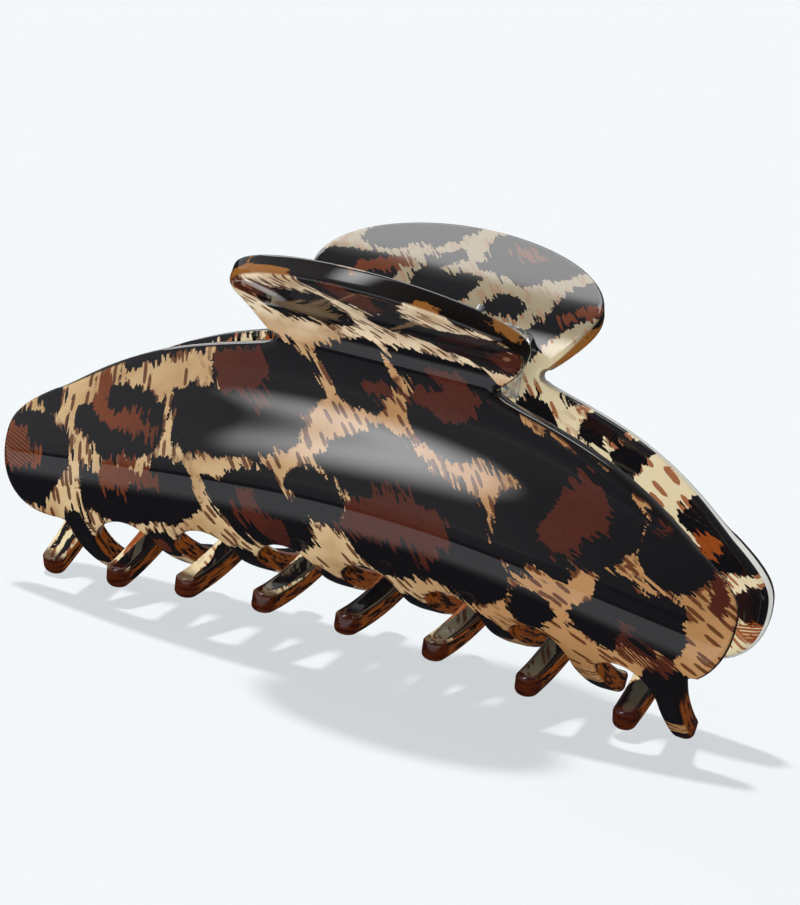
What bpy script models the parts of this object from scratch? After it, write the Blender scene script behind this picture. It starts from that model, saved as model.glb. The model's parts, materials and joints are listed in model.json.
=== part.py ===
"""Claw clip for hair: two formed plates that turn on a sprung pin.

Each jaw is cut from flat sheet as one blank, with thumb tab, neck, blade and teeth, and is then
formed. The two jaws are the same part, turned half round, so that their teeth fall between each other.
X runs along the clip, Y from the front jaw to the back jaw and Z up. The clip stands on its end teeth.
"""

import math

import bmesh
import bpy
from mathutils import Vector

MM = 0.001

# Sheet that the jaws are cut from
PLATE = 3.0 * MM
EDGE_ROUND = 0.8 * MM

# Blank, measured flat: x along the clip, s up the sheet from the foot of the neck
BLADE_LENGTH = 106.0 * MM
NECK_WIDTH = 33.6 * MM
NECK_SIDE = 1.6 * MM
BLADE_END_DROP = 14.8 * MM
BLADE_END_REACH = 11.5 * MM
EDGE_ALONG_POWER = 0.72
EDGE_DOWN_POWER = 2.74
ROOT_DROP = 27.0 * MM
TAB_OVERHANG = 4.0 * MM
TAB_DROP = 14.4 * MM
TAB_RISE = 13.5 * MM

# Teeth on one jaw
TOOTH_COUNT = 8
END_MARGIN = 7.1 * MM
TOOTH_WIDTH = 4.0 * MM
TOOTH_TIP_WIDTH = 3.3 * MM
TOOTH_LENGTH = 27.9 * MM
END_TOOTH_SHORTER = 11.0 * MM
TIP_ROUND = 1.6 * MM
GAP_RISE = 4.2 * MM
SHOULDER_RADIUS = 1.5 * MM

# Forming of the sheet, from the neck down to the teeth and up to the tab
NECK_OFFSET = 8.0 * MM
NECK_STRAIGHT = 3.2 * MM
FLARE_RADIUS = 11.4 * MM
FLARE_TURN = math.radians(37.5)
BLADE_RADIUS = 12.2 * MM
BLADE_TURN = math.radians(106.5)
END_TURN_LESS = math.radians(14.5)
TOOTH_RADIUS = 60.0 * MM
TAB_BEND_RADIUS = 8.0 * MM
TAB_FLARE = math.radians(62.0)
END_DRAW_IN = 0.44
ARCH_RADIUS = 172.0 * MM
DOME_START = 8.0 * MM

# Hinge
HINGE_RISE = 4.0 * MM
HINGE_LENGTH = 27.8 * MM
LUG_RADIUS = 4.0 * MM
OUTER_LUG = 3.2 * MM
INNER_LUG = 4.0 * MM
LUG_FOOT_DOWN = 3.0 * MM
LUG_FOOT_UP = 5.0 * MM
LUG_EDGE = 0.35 * MM
BOND_GAP = 0.3 * MM
SIDE_GAP = 0.3 * MM
PIN_RADIUS = 1.2 * MM
BORE_CLEARANCE = 0.2 * MM
HEAD_RADIUS = 2.1 * MM
HEAD_HEIGHT = 0.9 * MM
PEEN_RADIUS = 1.7 * MM
PEEN_HEIGHT = 0.7 * MM

# Torsion spring on the pin
WIRE_RADIUS = 0.6 * MM
COIL_CLEARANCE = 0.55 * MM
COIL_WHOLE_TURNS = 6
LEG_REACH = 9.5 * MM
LEG_GAP = 0.3 * MM

# Fineness of the faceted solids
FACET_TURN = math.radians(13.0)
TIP_POINTS = 6
GAP_POINTS = 8
EDGE_POINTS = 15
END_POINTS = 8
TAB_POINTS = 32
NOTCH_POINTS = 4
ROUND_SIDES = 24
CURL_POINTS = 9
SAMPLE = 0.01 * MM

HALF_BLADE = BLADE_LENGTH / 2
HALF_NECK = NECK_WIDTH / 2
HALF_HINGE = HINGE_LENGTH / 2
PITCH = (BLADE_LENGTH - 2 * END_MARGIN) / (TOOTH_COUNT - 0.5)
LAST_TOOTH = HALF_BLADE - END_MARGIN
TEETH = [LAST_TOOTH - k * PITCH for k in range(TOOTH_COUNT)]
GAPS = [x - PITCH / 2 for x in TEETH[:-1]]


def remove_objects():
    """Empties the scene."""
    for obj in list(bpy.data.objects):
        bpy.data.objects.remove(obj, do_unlink=True)


def material(name, colour, roughness, metallic=0.0, transmission=0.0):
    """A Principled material."""
    mat = bpy.data.materials.new(name)
    mat.use_nodes = True
    shader = mat.node_tree.nodes["Principled BSDF"]
    shader.inputs["Base Color"].default_value = (*colour, 1.0)
    shader.inputs["Roughness"].default_value = roughness
    shader.inputs["Metallic"].default_value = metallic
    shader.inputs["Transmission Weight"].default_value = transmission
    mat.diffuse_color = (*colour, 1.0)
    return mat


def spread(first, last, count):
    """Evenly spaced values from first to last, both included."""
    return [first + (last - first) * k / (count - 1) for k in range(count)]


# The flat blank


def tab_edge():
    """Points over the oval tab, from its right foot to its left foot."""
    length = HALF_NECK + TAB_OVERHANG
    foot = math.acos(HALF_NECK / length)
    centre = NECK_SIDE + TAB_DROP * math.sin(foot)
    points = []
    for angle in spread(-foot, math.pi + foot, TAB_POINTS):
        height = TAB_RISE if angle % math.tau < math.pi else TAB_DROP
        points.append((length * math.cos(angle), centre + height * math.sin(angle)))
    return points


def notch(side):
    """Half-round notch between blade and tab, from the blade up."""
    radius = NECK_SIDE / 2
    points = []
    for angle in spread(0.0, math.pi, NOTCH_POINTS + 2)[1:-1]:
        points.append((side * (HALF_NECK - radius * math.sin(angle)), radius - radius * math.cos(angle)))
    return points


def upper_edge(side):
    """Shoulder of the blade, from its end up to the neck, as a quarter of a superellipse."""
    points = []
    for turn in spread(math.pi / 2, 0.0, EDGE_POINTS):
        along = math.sin(turn) ** 1.5
        down = 1 - max(1 - along**EDGE_ALONG_POWER, 0.0) ** (1 / EDGE_DOWN_POWER)
        points.append((side * (HALF_NECK + (HALF_BLADE - HALF_NECK) * along), -BLADE_END_DROP * down))
    return points


def lower_end(side, tooth):
    """Round end of the blade, from the end tooth's outer side up to just short of the blade's end."""
    face = side * tooth + TOOTH_WIDTH / 2
    start = face + SHOULDER_RADIUS
    centre = HALF_BLADE - BLADE_END_REACH
    reach = min(max((start - centre) / BLADE_END_REACH, 0.0), 1.0)
    depth = ROOT_DROP - BLADE_END_DROP
    low = -BLADE_END_DROP - depth * math.sqrt(1 - reach**2)
    points = []
    for angle in spread(0.0, math.pi / 2, NOTCH_POINTS + 1):
        x = start - SHOULDER_RADIUS * math.cos(angle)
        points.append((side * x, low - SHOULDER_RADIUS * (1 - math.sin(angle))))
    first = math.asin(reach)
    for angle in spread(first, math.pi / 2, END_POINTS)[1:-1]:
        x = centre + BLADE_END_REACH * math.sin(angle)
        points.append((side * x, -BLADE_END_DROP - depth * math.cos(angle)))
    return points


def tooth_tip(x):
    """Level of the tip of the tooth at x. The teeth are shorter towards the ends."""
    return -ROOT_DROP - TOOTH_LENGTH + END_TOOTH_SHORTER * (x / LAST_TOOTH) ** 2


def tip_edge(x):
    """Round tip of a tooth, from its right side to its left side."""
    points = []
    base = tooth_tip(x) + TIP_ROUND
    for angle in spread(0.0, -math.pi, TIP_POINTS):
        points.append((x + TOOTH_TIP_WIDTH / 2 * math.cos(angle), base + TIP_ROUND * math.sin(angle)))
    return points


def gap_edge(x):
    """Arch between two teeth, from right to left."""
    half = (PITCH - TOOTH_WIDTH) / 2
    points = []
    for angle in spread(0.0, math.pi, GAP_POINTS):
        rise = GAP_RISE * (math.sin(angle) - 1)
        points.append((x + half * math.cos(angle), -ROOT_DROP + rise))
    return points


def blank_outline():
    """The whole outline of the blank, anticlockwise from the right end tooth."""
    right = lower_end(1, TEETH[0]) + upper_edge(1) + notch(1)
    left = lower_end(-1, TEETH[-1]) + upper_edge(-1) + notch(-1)
    teeth = []
    for tooth, gap in zip(TEETH, GAPS):
        teeth += tip_edge(tooth) + gap_edge(gap)
    teeth += tip_edge(TEETH[-1])
    return right + tab_edge() + left[::-1] + teeth[::-1]


# Forming


def walk(stretches, length, upwards):
    """Follows stretches of (length, curvature) from the neck and gives y, z at that length."""
    y = -NECK_OFFSET
    z = 0.0
    heading = 0.0
    for reach, curvature in stretches:
        step = min(length, reach)
        turned = heading + step * curvature
        if curvature:
            y += (math.cos(turned) - math.cos(heading)) / curvature
            z += upwards * (math.sin(turned) - math.sin(heading)) / curvature
        else:
            y -= step * math.sin(heading)
            z += upwards * step * math.cos(heading)
        heading = turned
        length -= step
    return y, z


UPWARDS = [
    (TAB_BEND_RADIUS * TAB_FLARE, 1 / TAB_BEND_RADIUS),
    (math.inf, 0.0),
]


def outward_share(x):
    """How far x is from the neck's side towards the blade's end, from 0 to 1."""
    return max(abs(x) - HALF_NECK, 0.0) / (HALF_BLADE - HALF_NECK)


def downwards(x):
    """Stretches from the neck down to the teeth at x. The blade turns in less towards its ends."""
    turn = BLADE_TURN - END_TURN_LESS * outward_share(x)
    return [
        (NECK_STRAIGHT, 0.0),
        (FLARE_RADIUS * FLARE_TURN, 1 / FLARE_RADIUS),
        (BLADE_RADIUS * turn, -1 / BLADE_RADIUS),
        (math.inf, -1 / TOOTH_RADIUS),
    ]


def smooth(value):
    """Eases from 0 to 1."""
    value = min(max(value, 0.0), 1.0)
    return value * value * (3 - 2 * value)


def middle(x, s):
    """Middle of the formed sheet of the front jaw, over the point x, s of the blank."""
    nearest = min(TEETH, key=lambda tooth: abs(tooth - x))
    loose = smooth((-ROOT_DROP - s) / GAP_RISE)
    along = x + (nearest - x) * loose
    y, z = walk(UPWARDS, s, 1) if s >= 0 else walk(downwards(along), -s, -1)
    shaped = smooth(-s / DOME_START)
    y *= 1 - END_DRAW_IN * outward_share(along) ** 2 * shaped
    z -= along**2 / (2 * ARCH_RADIUS) * shaped
    return Vector((x, y, z))


def formed(x, s, out):
    """Point of the formed jaw at height out above the middle of its sheet, outwards."""
    along = middle(x + SAMPLE, s) - middle(x - SAMPLE, s)
    up = middle(x, s + SAMPLE) - middle(x, s - SAMPLE)
    point = middle(x, s) + along.cross(up).normalized() * out
    return point - Vector((0.0, 0.0, HINGE_RISE))


def cut_lines():
    """Levels of the blank where the sheet bends, from the tab down to the teeth."""
    levels = []
    for stretches, way in ((downwards(0.0), -1), (UPWARDS, 1)):
        start = 0.0
        limit = ROOT_DROP + TOOTH_LENGTH if way < 0 else NECK_SIDE + TAB_DROP + TAB_RISE
        for reach, curvature in stretches:
            end = min(start + reach, limit)
            pieces = max(1, math.ceil((end - start) * abs(curvature) / FACET_TURN))
            levels += [way * value for value in spread(start, end, pieces + 1)]
            start = end
    return sorted(set(levels))


def jaw_mesh():
    """One jaw: the blank is extruded, its edges are rounded, it is cut where it bends and formed."""
    shape = bmesh.new()
    rim = [shape.verts.new((x, s, -PLATE / 2)) for x, s in blank_outline()]
    blank = shape.faces.new(rim)
    grown = bmesh.ops.extrude_face_region(shape, geom=[blank])
    lifted = [item for item in grown["geom"] if isinstance(item, bmesh.types.BMVert)]
    bmesh.ops.translate(shape, verts=lifted, vec=(0.0, 0.0, PLATE))
    bmesh.ops.recalc_face_normals(shape, faces=shape.faces)
    edges = [edge for edge in shape.edges if abs(edge.verts[0].co.z - edge.verts[1].co.z) < PLATE / 2]
    bmesh.ops.bevel(shape, geom=edges, offset=EDGE_ROUND, segments=1, affect="EDGES")
    planes = [((0.0, level, 0.0), (0.0, 1.0, 0.0)) for level in cut_lines()]
    planes += [((x, 0.0, 0.0), (1.0, 0.0, 0.0)) for x in TEETH + GAPS]
    for point, normal in planes:
        everything = shape.verts[:] + shape.edges[:] + shape.faces[:]
        bmesh.ops.bisect_plane(shape, geom=everything, dist=SAMPLE, plane_co=point, plane_no=normal)
    for vert in shape.verts:
        vert.co = formed(*vert.co)
    return finished(shape, "jaw")


def finished(shape, name):
    """Turns a bmesh into a mesh that is smooth up to its sharp edges."""
    mesh = bpy.data.meshes.new(name)
    shape.to_mesh(mesh)
    shape.free()
    mesh.shade_smooth()
    mesh.set_sharp_from_angle(angle=math.radians(35))
    return mesh


# Hinge


def lug_outline():
    """Side view of a front lug about the pin: a barrel with a foot that follows the plate."""
    seat = PLATE / 2 + BOND_GAP
    foot = [formed(0.0, s, -seat) for s in spread(-LUG_FOOT_DOWN, LUG_FOOT_UP, 6)]
    points = [(spot.y, spot.z) for spot in foot]
    ends = []
    for (y, z), side in ((points[-1], -1), (points[0], 1)):
        ends.append(math.atan2(z, y) % math.tau + side * math.acos(LUG_RADIUS / math.hypot(y, z)))
    top, bottom = ends
    for angle in spread(top, bottom - math.tau, ROUND_SIDES):
        points.append((LUG_RADIUS * math.cos(angle), LUG_RADIUS * math.sin(angle)))
    return points


def lug_mesh(name, low, high):
    """A lug from low to high along the pin, still without its bore."""
    shape = bmesh.new()
    face = shape.faces.new([shape.verts.new((low, y, z)) for y, z in lug_outline()])
    grown = bmesh.ops.extrude_face_region(shape, geom=[face])
    lifted = [item for item in grown["geom"] if isinstance(item, bmesh.types.BMVert)]
    bmesh.ops.translate(shape, verts=lifted, vec=(high - low, 0.0, 0.0))
    bmesh.ops.recalc_face_normals(shape, faces=shape.faces)
    edges = [edge for edge in shape.edges if abs(edge.verts[0].co.x - edge.verts[1].co.x) < LUG_EDGE]
    bmesh.ops.bevel(shape, geom=edges, offset=LUG_EDGE, segments=1, affect="EDGES")
    return finished(shape, name)


def turned_mesh(name, profile):
    """A solid turned about X from (x, radius) points that start and end on the axis."""
    shape = bmesh.new()
    line = [shape.verts.new((x, 0.0, radius)) for x, radius in profile]
    edges = [shape.edges.new(pair) for pair in zip(line, line[1:])]
    bmesh.ops.spin(
        shape, geom=line + edges, cent=(0, 0, 0), axis=(1, 0, 0), angle=math.tau, steps=ROUND_SIDES
    )
    bmesh.ops.remove_doubles(shape, verts=shape.verts, dist=SAMPLE)
    bmesh.ops.recalc_face_normals(shape, faces=shape.faces)
    return finished(shape, name)


def pin_profile():
    """Pin with a flat head on the left and a peened end on the right."""
    left = -HALF_HINGE - SIDE_GAP
    right = HALF_HINGE + SIDE_GAP
    return [
        (left - HEAD_HEIGHT, 0.0),
        (left - HEAD_HEIGHT, HEAD_RADIUS * 0.8),
        (left - HEAD_HEIGHT * 0.6, HEAD_RADIUS),
        (left, HEAD_RADIUS),
        (left, PIN_RADIUS),
        (right, PIN_RADIUS),
        (right, PEEN_RADIUS),
        (right + PEEN_HEIGHT * 0.6, PEEN_RADIUS * 0.8),
        (right + PEEN_HEIGHT, 0.0),
    ]


def leg_turn(radius):
    """Direction of the left leg about the pin, so that its end rests on the front tab's inner face."""
    seat = PLATE / 2 + LEG_GAP + WIRE_RADIUS
    run = math.sqrt(LEG_REACH**2 - radius**2)
    low = 0.0
    high = TAB_RISE + TAB_DROP
    for _ in range(40):
        s = (low + high) / 2
        rest = formed(0.0, s, -seat)
        if math.hypot(rest.y, rest.z) < LEG_REACH:
            low = s
        else:
            high = s
    return math.atan2(rest.z, rest.y) - math.atan(radius / run)


def spring_points():
    """Middle of the wire: left leg, coil and right leg, which is the left one turned half round."""
    radius = PIN_RADIUS + COIL_CLEARANCE + WIRE_RADIUS
    lean = leg_turn(radius)
    half = HALF_HINGE - OUTER_LUG - INNER_LUG - 2 * SIDE_GAP - WIRE_RADIUS
    start = lean + math.pi / 2
    end = math.pi - start + math.tau * COIL_WHOLE_TURNS
    run = math.sqrt(LEG_REACH**2 - radius**2)
    steps = math.ceil((end - start) / math.tau * CURL_POINTS)
    coil = []
    for share in spread(0.0, 1.0, steps + 1):
        angle = start + (end - start) * share
        coil.append(Vector((half * (2 * share - 1), radius * math.cos(angle), radius * math.sin(angle))))
    along = Vector((0.0, math.cos(lean), math.sin(lean)))
    left = [coil[0] + along * run * share for share in (1.0, 0.5)]
    right = [Vector((-p.x, -p.y, p.z)) for p in reversed(left)]
    return left + coil + right


def least_gap(points):
    """Least clear distance between stretches of the wire that lie over half a curl apart."""
    apart = CURL_POINTS // 2 + 1
    nearest = math.inf
    for k, first in enumerate(points):
        for second in points[k + apart :]:
            nearest = min(nearest, (first - second).length)
    return nearest - 2 * WIRE_RADIUS


def spring_curve():
    """The spring's wire as one unbroken tube."""
    points = spring_points()
    curve = bpy.data.curves.new("torsion_spring", "CURVE")
    curve.dimensions = "3D"
    curve.bevel_depth = WIRE_RADIUS
    curve.bevel_resolution = 1
    curve.use_fill_caps = True
    line = curve.splines.new("POLY")
    line.points.add(len(points) - 1)
    for knot, point in zip(line.points, points):
        knot.co = (*point, 1.0)
    print(f"torsion_spring: least gap to itself {least_gap(points) / MM:.2f} mm")
    return curve


# Assembly


def place(name, data, parent, finish, turned=False):
    """Adds an object on the hinge axis, turned half round for the back jaw's side."""
    obj = bpy.data.objects.new(name, data)
    bpy.context.collection.objects.link(obj)
    obj.parent = parent
    obj.rotation_euler.z = math.pi if turned else 0.0
    if not data.materials:
        data.materials.append(finish)
    return obj


def drill(obj, cutter):
    """Bores a lug."""
    bore = obj.modifiers.new("bore", "BOOLEAN")
    bore.operation = "DIFFERENCE"
    bore.solver = "EXACT"
    bore.object = cutter


def axis_empty(name, height):
    """An empty on the hinge axis that carries one side of the clip."""
    empty = bpy.data.objects.new(name, None)
    bpy.context.collection.objects.link(empty)
    empty.location.z = height
    return empty


def main():
    """Builds the clip, standing on its end teeth."""
    remove_objects()
    printed = material("printed_sheet", (0.42, 0.22, 0.09), 0.12)
    clear = material("clear_acrylic", (0.92, 0.93, 0.93), 0.05, transmission=0.9)
    steel = material("pin_steel", (0.62, 0.62, 0.64), 0.28, metallic=1.0)
    wire = material("spring_wire", (0.55, 0.55, 0.57), 0.3, metallic=1.0)

    jaw = jaw_mesh()
    height = -min(vert.co.z for vert in jaw.vertices)
    front = axis_empty("front_side", height)
    back = axis_empty("back_side", height)
    place("front_jaw", jaw, front, printed)
    place("back_jaw", jaw, back, printed, turned=True)

    bore_profile = [(-HALF_HINGE * 2, 0.0), (-HALF_HINGE * 2, PIN_RADIUS + BORE_CLEARANCE)]
    bore_profile += [(-x, radius) for x, radius in reversed(bore_profile)]
    cutter = place("bore_cutter", turned_mesh("bore_cutter", bore_profile), front, steel)
    cutter.hide_render = True
    cutter.display_type = "WIRE"
    outer = lug_mesh("outer_lug", -HALF_HINGE, OUTER_LUG - HALF_HINGE)
    reach = HALF_HINGE - OUTER_LUG - SIDE_GAP
    inner = lug_mesh("inner_lug", reach - INNER_LUG, reach)
    drill(place("front_lug_left", outer, front, clear), cutter)
    drill(place("front_lug_right", inner, front, clear), cutter)
    drill(place("back_lug_left", inner, back, clear, turned=True), cutter)
    drill(place("back_lug_right", outer, back, clear, turned=True), cutter)

    place("hinge_pin", turned_mesh("hinge_pin", pin_profile()), front, steel)
    place("torsion_spring", spring_curve(), front, wire)

    tab_end = formed(0.0, tab_edge()[TAB_POINTS // 2][1], -PLATE / 2)
    meet = 2 * math.degrees(math.atan2(-tab_end.y, tab_end.z))
    print(f"hinge axis at z = {height / MM:.3f} mm, tabs meet at {meet:.1f} degrees")


main()
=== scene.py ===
import json
import logging
import math
from dataclasses import dataclass
from enum import Enum

import bmesh
import bpy
import numpy as np
from mathutils import Matrix, Vector


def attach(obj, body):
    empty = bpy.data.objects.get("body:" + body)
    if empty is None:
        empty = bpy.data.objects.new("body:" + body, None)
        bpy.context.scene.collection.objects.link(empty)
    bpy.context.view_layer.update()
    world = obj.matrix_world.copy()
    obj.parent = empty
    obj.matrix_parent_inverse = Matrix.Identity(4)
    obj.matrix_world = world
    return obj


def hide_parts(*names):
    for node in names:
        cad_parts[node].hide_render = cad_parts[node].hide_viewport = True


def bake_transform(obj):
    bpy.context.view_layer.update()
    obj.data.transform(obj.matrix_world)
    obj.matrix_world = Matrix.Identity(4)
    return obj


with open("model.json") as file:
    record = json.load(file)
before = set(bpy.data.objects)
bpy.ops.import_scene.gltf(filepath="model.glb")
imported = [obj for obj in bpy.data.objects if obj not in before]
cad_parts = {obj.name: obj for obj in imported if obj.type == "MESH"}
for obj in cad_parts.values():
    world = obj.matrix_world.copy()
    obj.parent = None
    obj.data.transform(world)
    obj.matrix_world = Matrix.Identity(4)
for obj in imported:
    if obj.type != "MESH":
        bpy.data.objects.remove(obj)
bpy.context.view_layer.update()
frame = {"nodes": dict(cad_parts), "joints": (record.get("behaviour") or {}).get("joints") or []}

MM = 0.001
LOG = logging.getLogger("claw_clip")
Point = tuple[float, float]
Size = tuple[float, float]
Range = tuple[float, float]
Outline = tuple[Point, ...]
Triple = tuple[float, float, float]
Colour = tuple[float, float, float, float]


class Side(Enum):
    """The two faces of a jaw's sheet, and which way each looks."""

    OUTER = 1
    INNER = -1


# Shader graphs


class Value:
    """A socket of a node tree, with arithmetic that adds Math nodes."""

    def __init__(self, graph: "Graph", socket: bpy.types.NodeSocket) -> None:
        """Wraps one output socket of a graph."""
        self.graph = graph
        self.socket = socket

    def _math(self, operation: str, *others: object) -> "Value":
        """Adds a Math node with this value first."""
        inputs = {0: self} | {k + 1: other for k, other in enumerate(others)}
        return self.graph.node("ShaderNodeMath", {"operation": operation}, inputs)

    def __add__(self, other: object) -> "Value":
        """Sum."""
        return self._math("ADD", other)

    __radd__ = __add__

    def __mul__(self, other: object) -> "Value":
        """Product."""
        return self._math("MULTIPLY", other)

    __rmul__ = __mul__

    def __sub__(self, other: object) -> "Value":
        """Difference."""
        return self._math("SUBTRACT", other)

    def __rsub__(self, other: object) -> "Value":
        """Difference from a number."""
        return (self * -1.0) + other

    def __truediv__(self, other: object) -> "Value":
        """Quotient."""
        return self._math("DIVIDE", other)

    def __lt__(self, other: object) -> "Value":
        """1 where this value is below the other."""
        return self._math("LESS_THAN", other)

    def __gt__(self, other: object) -> "Value":
        """1 where this value is above the other."""
        return self._math("GREATER_THAN", other)

    def __abs__(self) -> "Value":
        """Size without its sign."""
        return self._math("ABSOLUTE")

    def most(self, other: object) -> "Value":
        """The greater of two values."""
        return self._math("MAXIMUM", other)

    def sine(self) -> "Value":
        """Sine of this value in radians."""
        return self._math("SINE")

    def root(self) -> "Value":
        """Square root."""
        return self._math("SQRT")

    def eased(self, low: float, high: float) -> "Value":
        """Rises smoothly from 0 at low to 1 at high.

        Args:
            low: Value that gives 0.
            high: Value that gives 1. It may be below low.

        Returns:
            The eased value.
        """
        settings = {"interpolation_type": "SMOOTHSTEP"}
        inputs = {"Value": self, "From Min": low, "From Max": high}
        return self.graph.node("ShaderNodeMapRange", settings, inputs)


class Graph:
    """A node tree that is written as expressions."""

    def __init__(self, tree: bpy.types.NodeTree) -> None:
        """Empties a tree to start a new graph in it."""
        self.tree = tree
        tree.nodes.clear()

    def node(
        self,
        kind: str,
        settings: dict | None = None,
        inputs: dict | None = None,
        output: str | int = 0,
    ) -> Value:
        """Adds any node.

        Args:
            kind: Blender's type name of the node.
            settings: Properties of the node, which are set first.
            inputs: Values or links for its sockets, by name or number.
            output: Name or number of the output that is returned.

        Returns:
            The node's output.
        """
        made = self.tree.nodes.new(kind)
        for name, value in (settings or {}).items():
            setattr(made, name, value)
        for key, value in (inputs or {}).items():
            socket = made.inputs[key]
            if isinstance(value, Value):
                self.tree.links.new(value.socket, socket)
            else:
                socket.default_value = value
        found = made.outputs[output] if made.outputs else None
        return Value(self, found)

    def attribute(self, name: str, output: str = "Fac") -> Value:
        """Reads an attribute of the mesh."""
        return self.node("ShaderNodeAttribute", {"attribute_name": name}, None, output)

    def place(self) -> Value:
        """Object coordinates in metres."""
        return self.node("ShaderNodeTexCoord", None, None, "Object")

    def glossy_ray(self) -> Value:
        """1 for a ray that comes from a glossy reflection."""
        return self.node("ShaderNodeLightPath", None, None, "Is Glossy Ray")

    def split(self, vector: Value) -> tuple[Value, Value, Value]:
        """The three parts of a vector."""
        made = self.node("ShaderNodeSeparateXYZ", None, {0: vector}).socket.node
        return tuple(Value(self, socket) for socket in made.outputs)

    def join(self, x: object, y: object, z: object = 0.0) -> Value:
        """A vector from its parts."""
        return self.node("ShaderNodeCombineXYZ", None, {0: x, 1: y, 2: z})

    def noise(self, place: Value, scale: float, detail: float = 2.0, rough: float = 0.5) -> Value:
        """Noise from 0 to 1 over a place."""
        inputs = {"Vector": place, "Scale": scale, "Detail": detail, "Roughness": rough}
        return self.node("ShaderNodeTexNoise", None, inputs, "Fac")

    def cells(self, place: Value, scale: float, output: str = "Distance") -> Value:
        """Distance to scattered points, or the colour or position of the nearest one."""
        inputs = {"Vector": place, "Scale": scale, "Randomness": 1.0}
        return self.node("ShaderNodeTexVoronoi", {"voronoi_dimensions": "2D"}, inputs, output)

    def chance(self, place: Value, scale: float) -> Value:
        """A random number from 0 to 1 for each of the scattered points."""
        return self.split(self.cells(place, scale, "Color"))[0]

    def apart(self, first: Value, second: Value) -> Value:
        """The vector from the second place to the first one."""
        return self.node("ShaderNodeVectorMath", {"operation": "SUBTRACT"}, {0: first, 1: second})

    def mix(self, share: object, first: object, second: object) -> Value:
        """Mixes two colours, where share is how much of the second one shows."""
        inputs = {0: share, 6: first, 7: second}
        return self.node("ShaderNodeMix", {"data_type": "RGBA"}, inputs, 2)

    def bump(self, height: Value, strength: float, distance: float) -> Value:
        """Normals of a surface with a height on it, in metres."""
        inputs = {"Strength": strength, "Distance": distance, "Height": height}
        return self.node("ShaderNodeBump", None, inputs, "Normal")

    def surface(self, inputs: dict) -> None:
        """Joins a Principled shader with these inputs to the material's output."""
        shader = self.node("ShaderNodeBsdfPrincipled", None, inputs)
        self.node("ShaderNodeOutputMaterial", None, {"Surface": shader})


def colour(code: str) -> Colour:
    """Turns a colour as it is seen on a screen into shader values.

    Args:
        code: Six hexadecimal digits.

    Returns:
        Linear red, green and blue, and full opacity.
    """
    shares = [int(code[k : k + 2], 16) / 255 for k in (0, 2, 4)]
    linear = [c / 12.92 if c <= 0.04045 else ((c + 0.055) / 1.055) ** 2.4 for c in shares]
    return (*linear, 1.0)


def new_material(name: str) -> tuple[bpy.types.Material, Graph]:
    """Starts a material.

    Args:
        name: Its name.

    Returns:
        The material and its empty graph.
    """
    made = bpy.data.materials.new(name)
    made.use_nodes = True
    return made, Graph(made.node_tree)


def turned(x: Value, s: Value, degrees: float) -> tuple[Value, Value]:
    """Turns places on the sheet into a direction.

    Args:
        x: Place along the blank.
        s: Place up the blank.
        degrees: The direction, anticlockwise from x.

    Returns:
        Places along and across the direction.
    """
    c, n = math.cos(math.radians(degrees)), math.sin(math.radians(degrees))
    return x * c + s * n, s * c - x * n


# Finishes


@dataclass(frozen=True)
class Fur:
    """How the edge of a mask is drawn out in hairs.

    The seed moves the hairs along, so that two masks differ. The length is the reach of the longest hairs,
    and soft is half of the edge's own width, both in millimetres.
    """

    seed: float
    length: float
    soft: float


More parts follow.
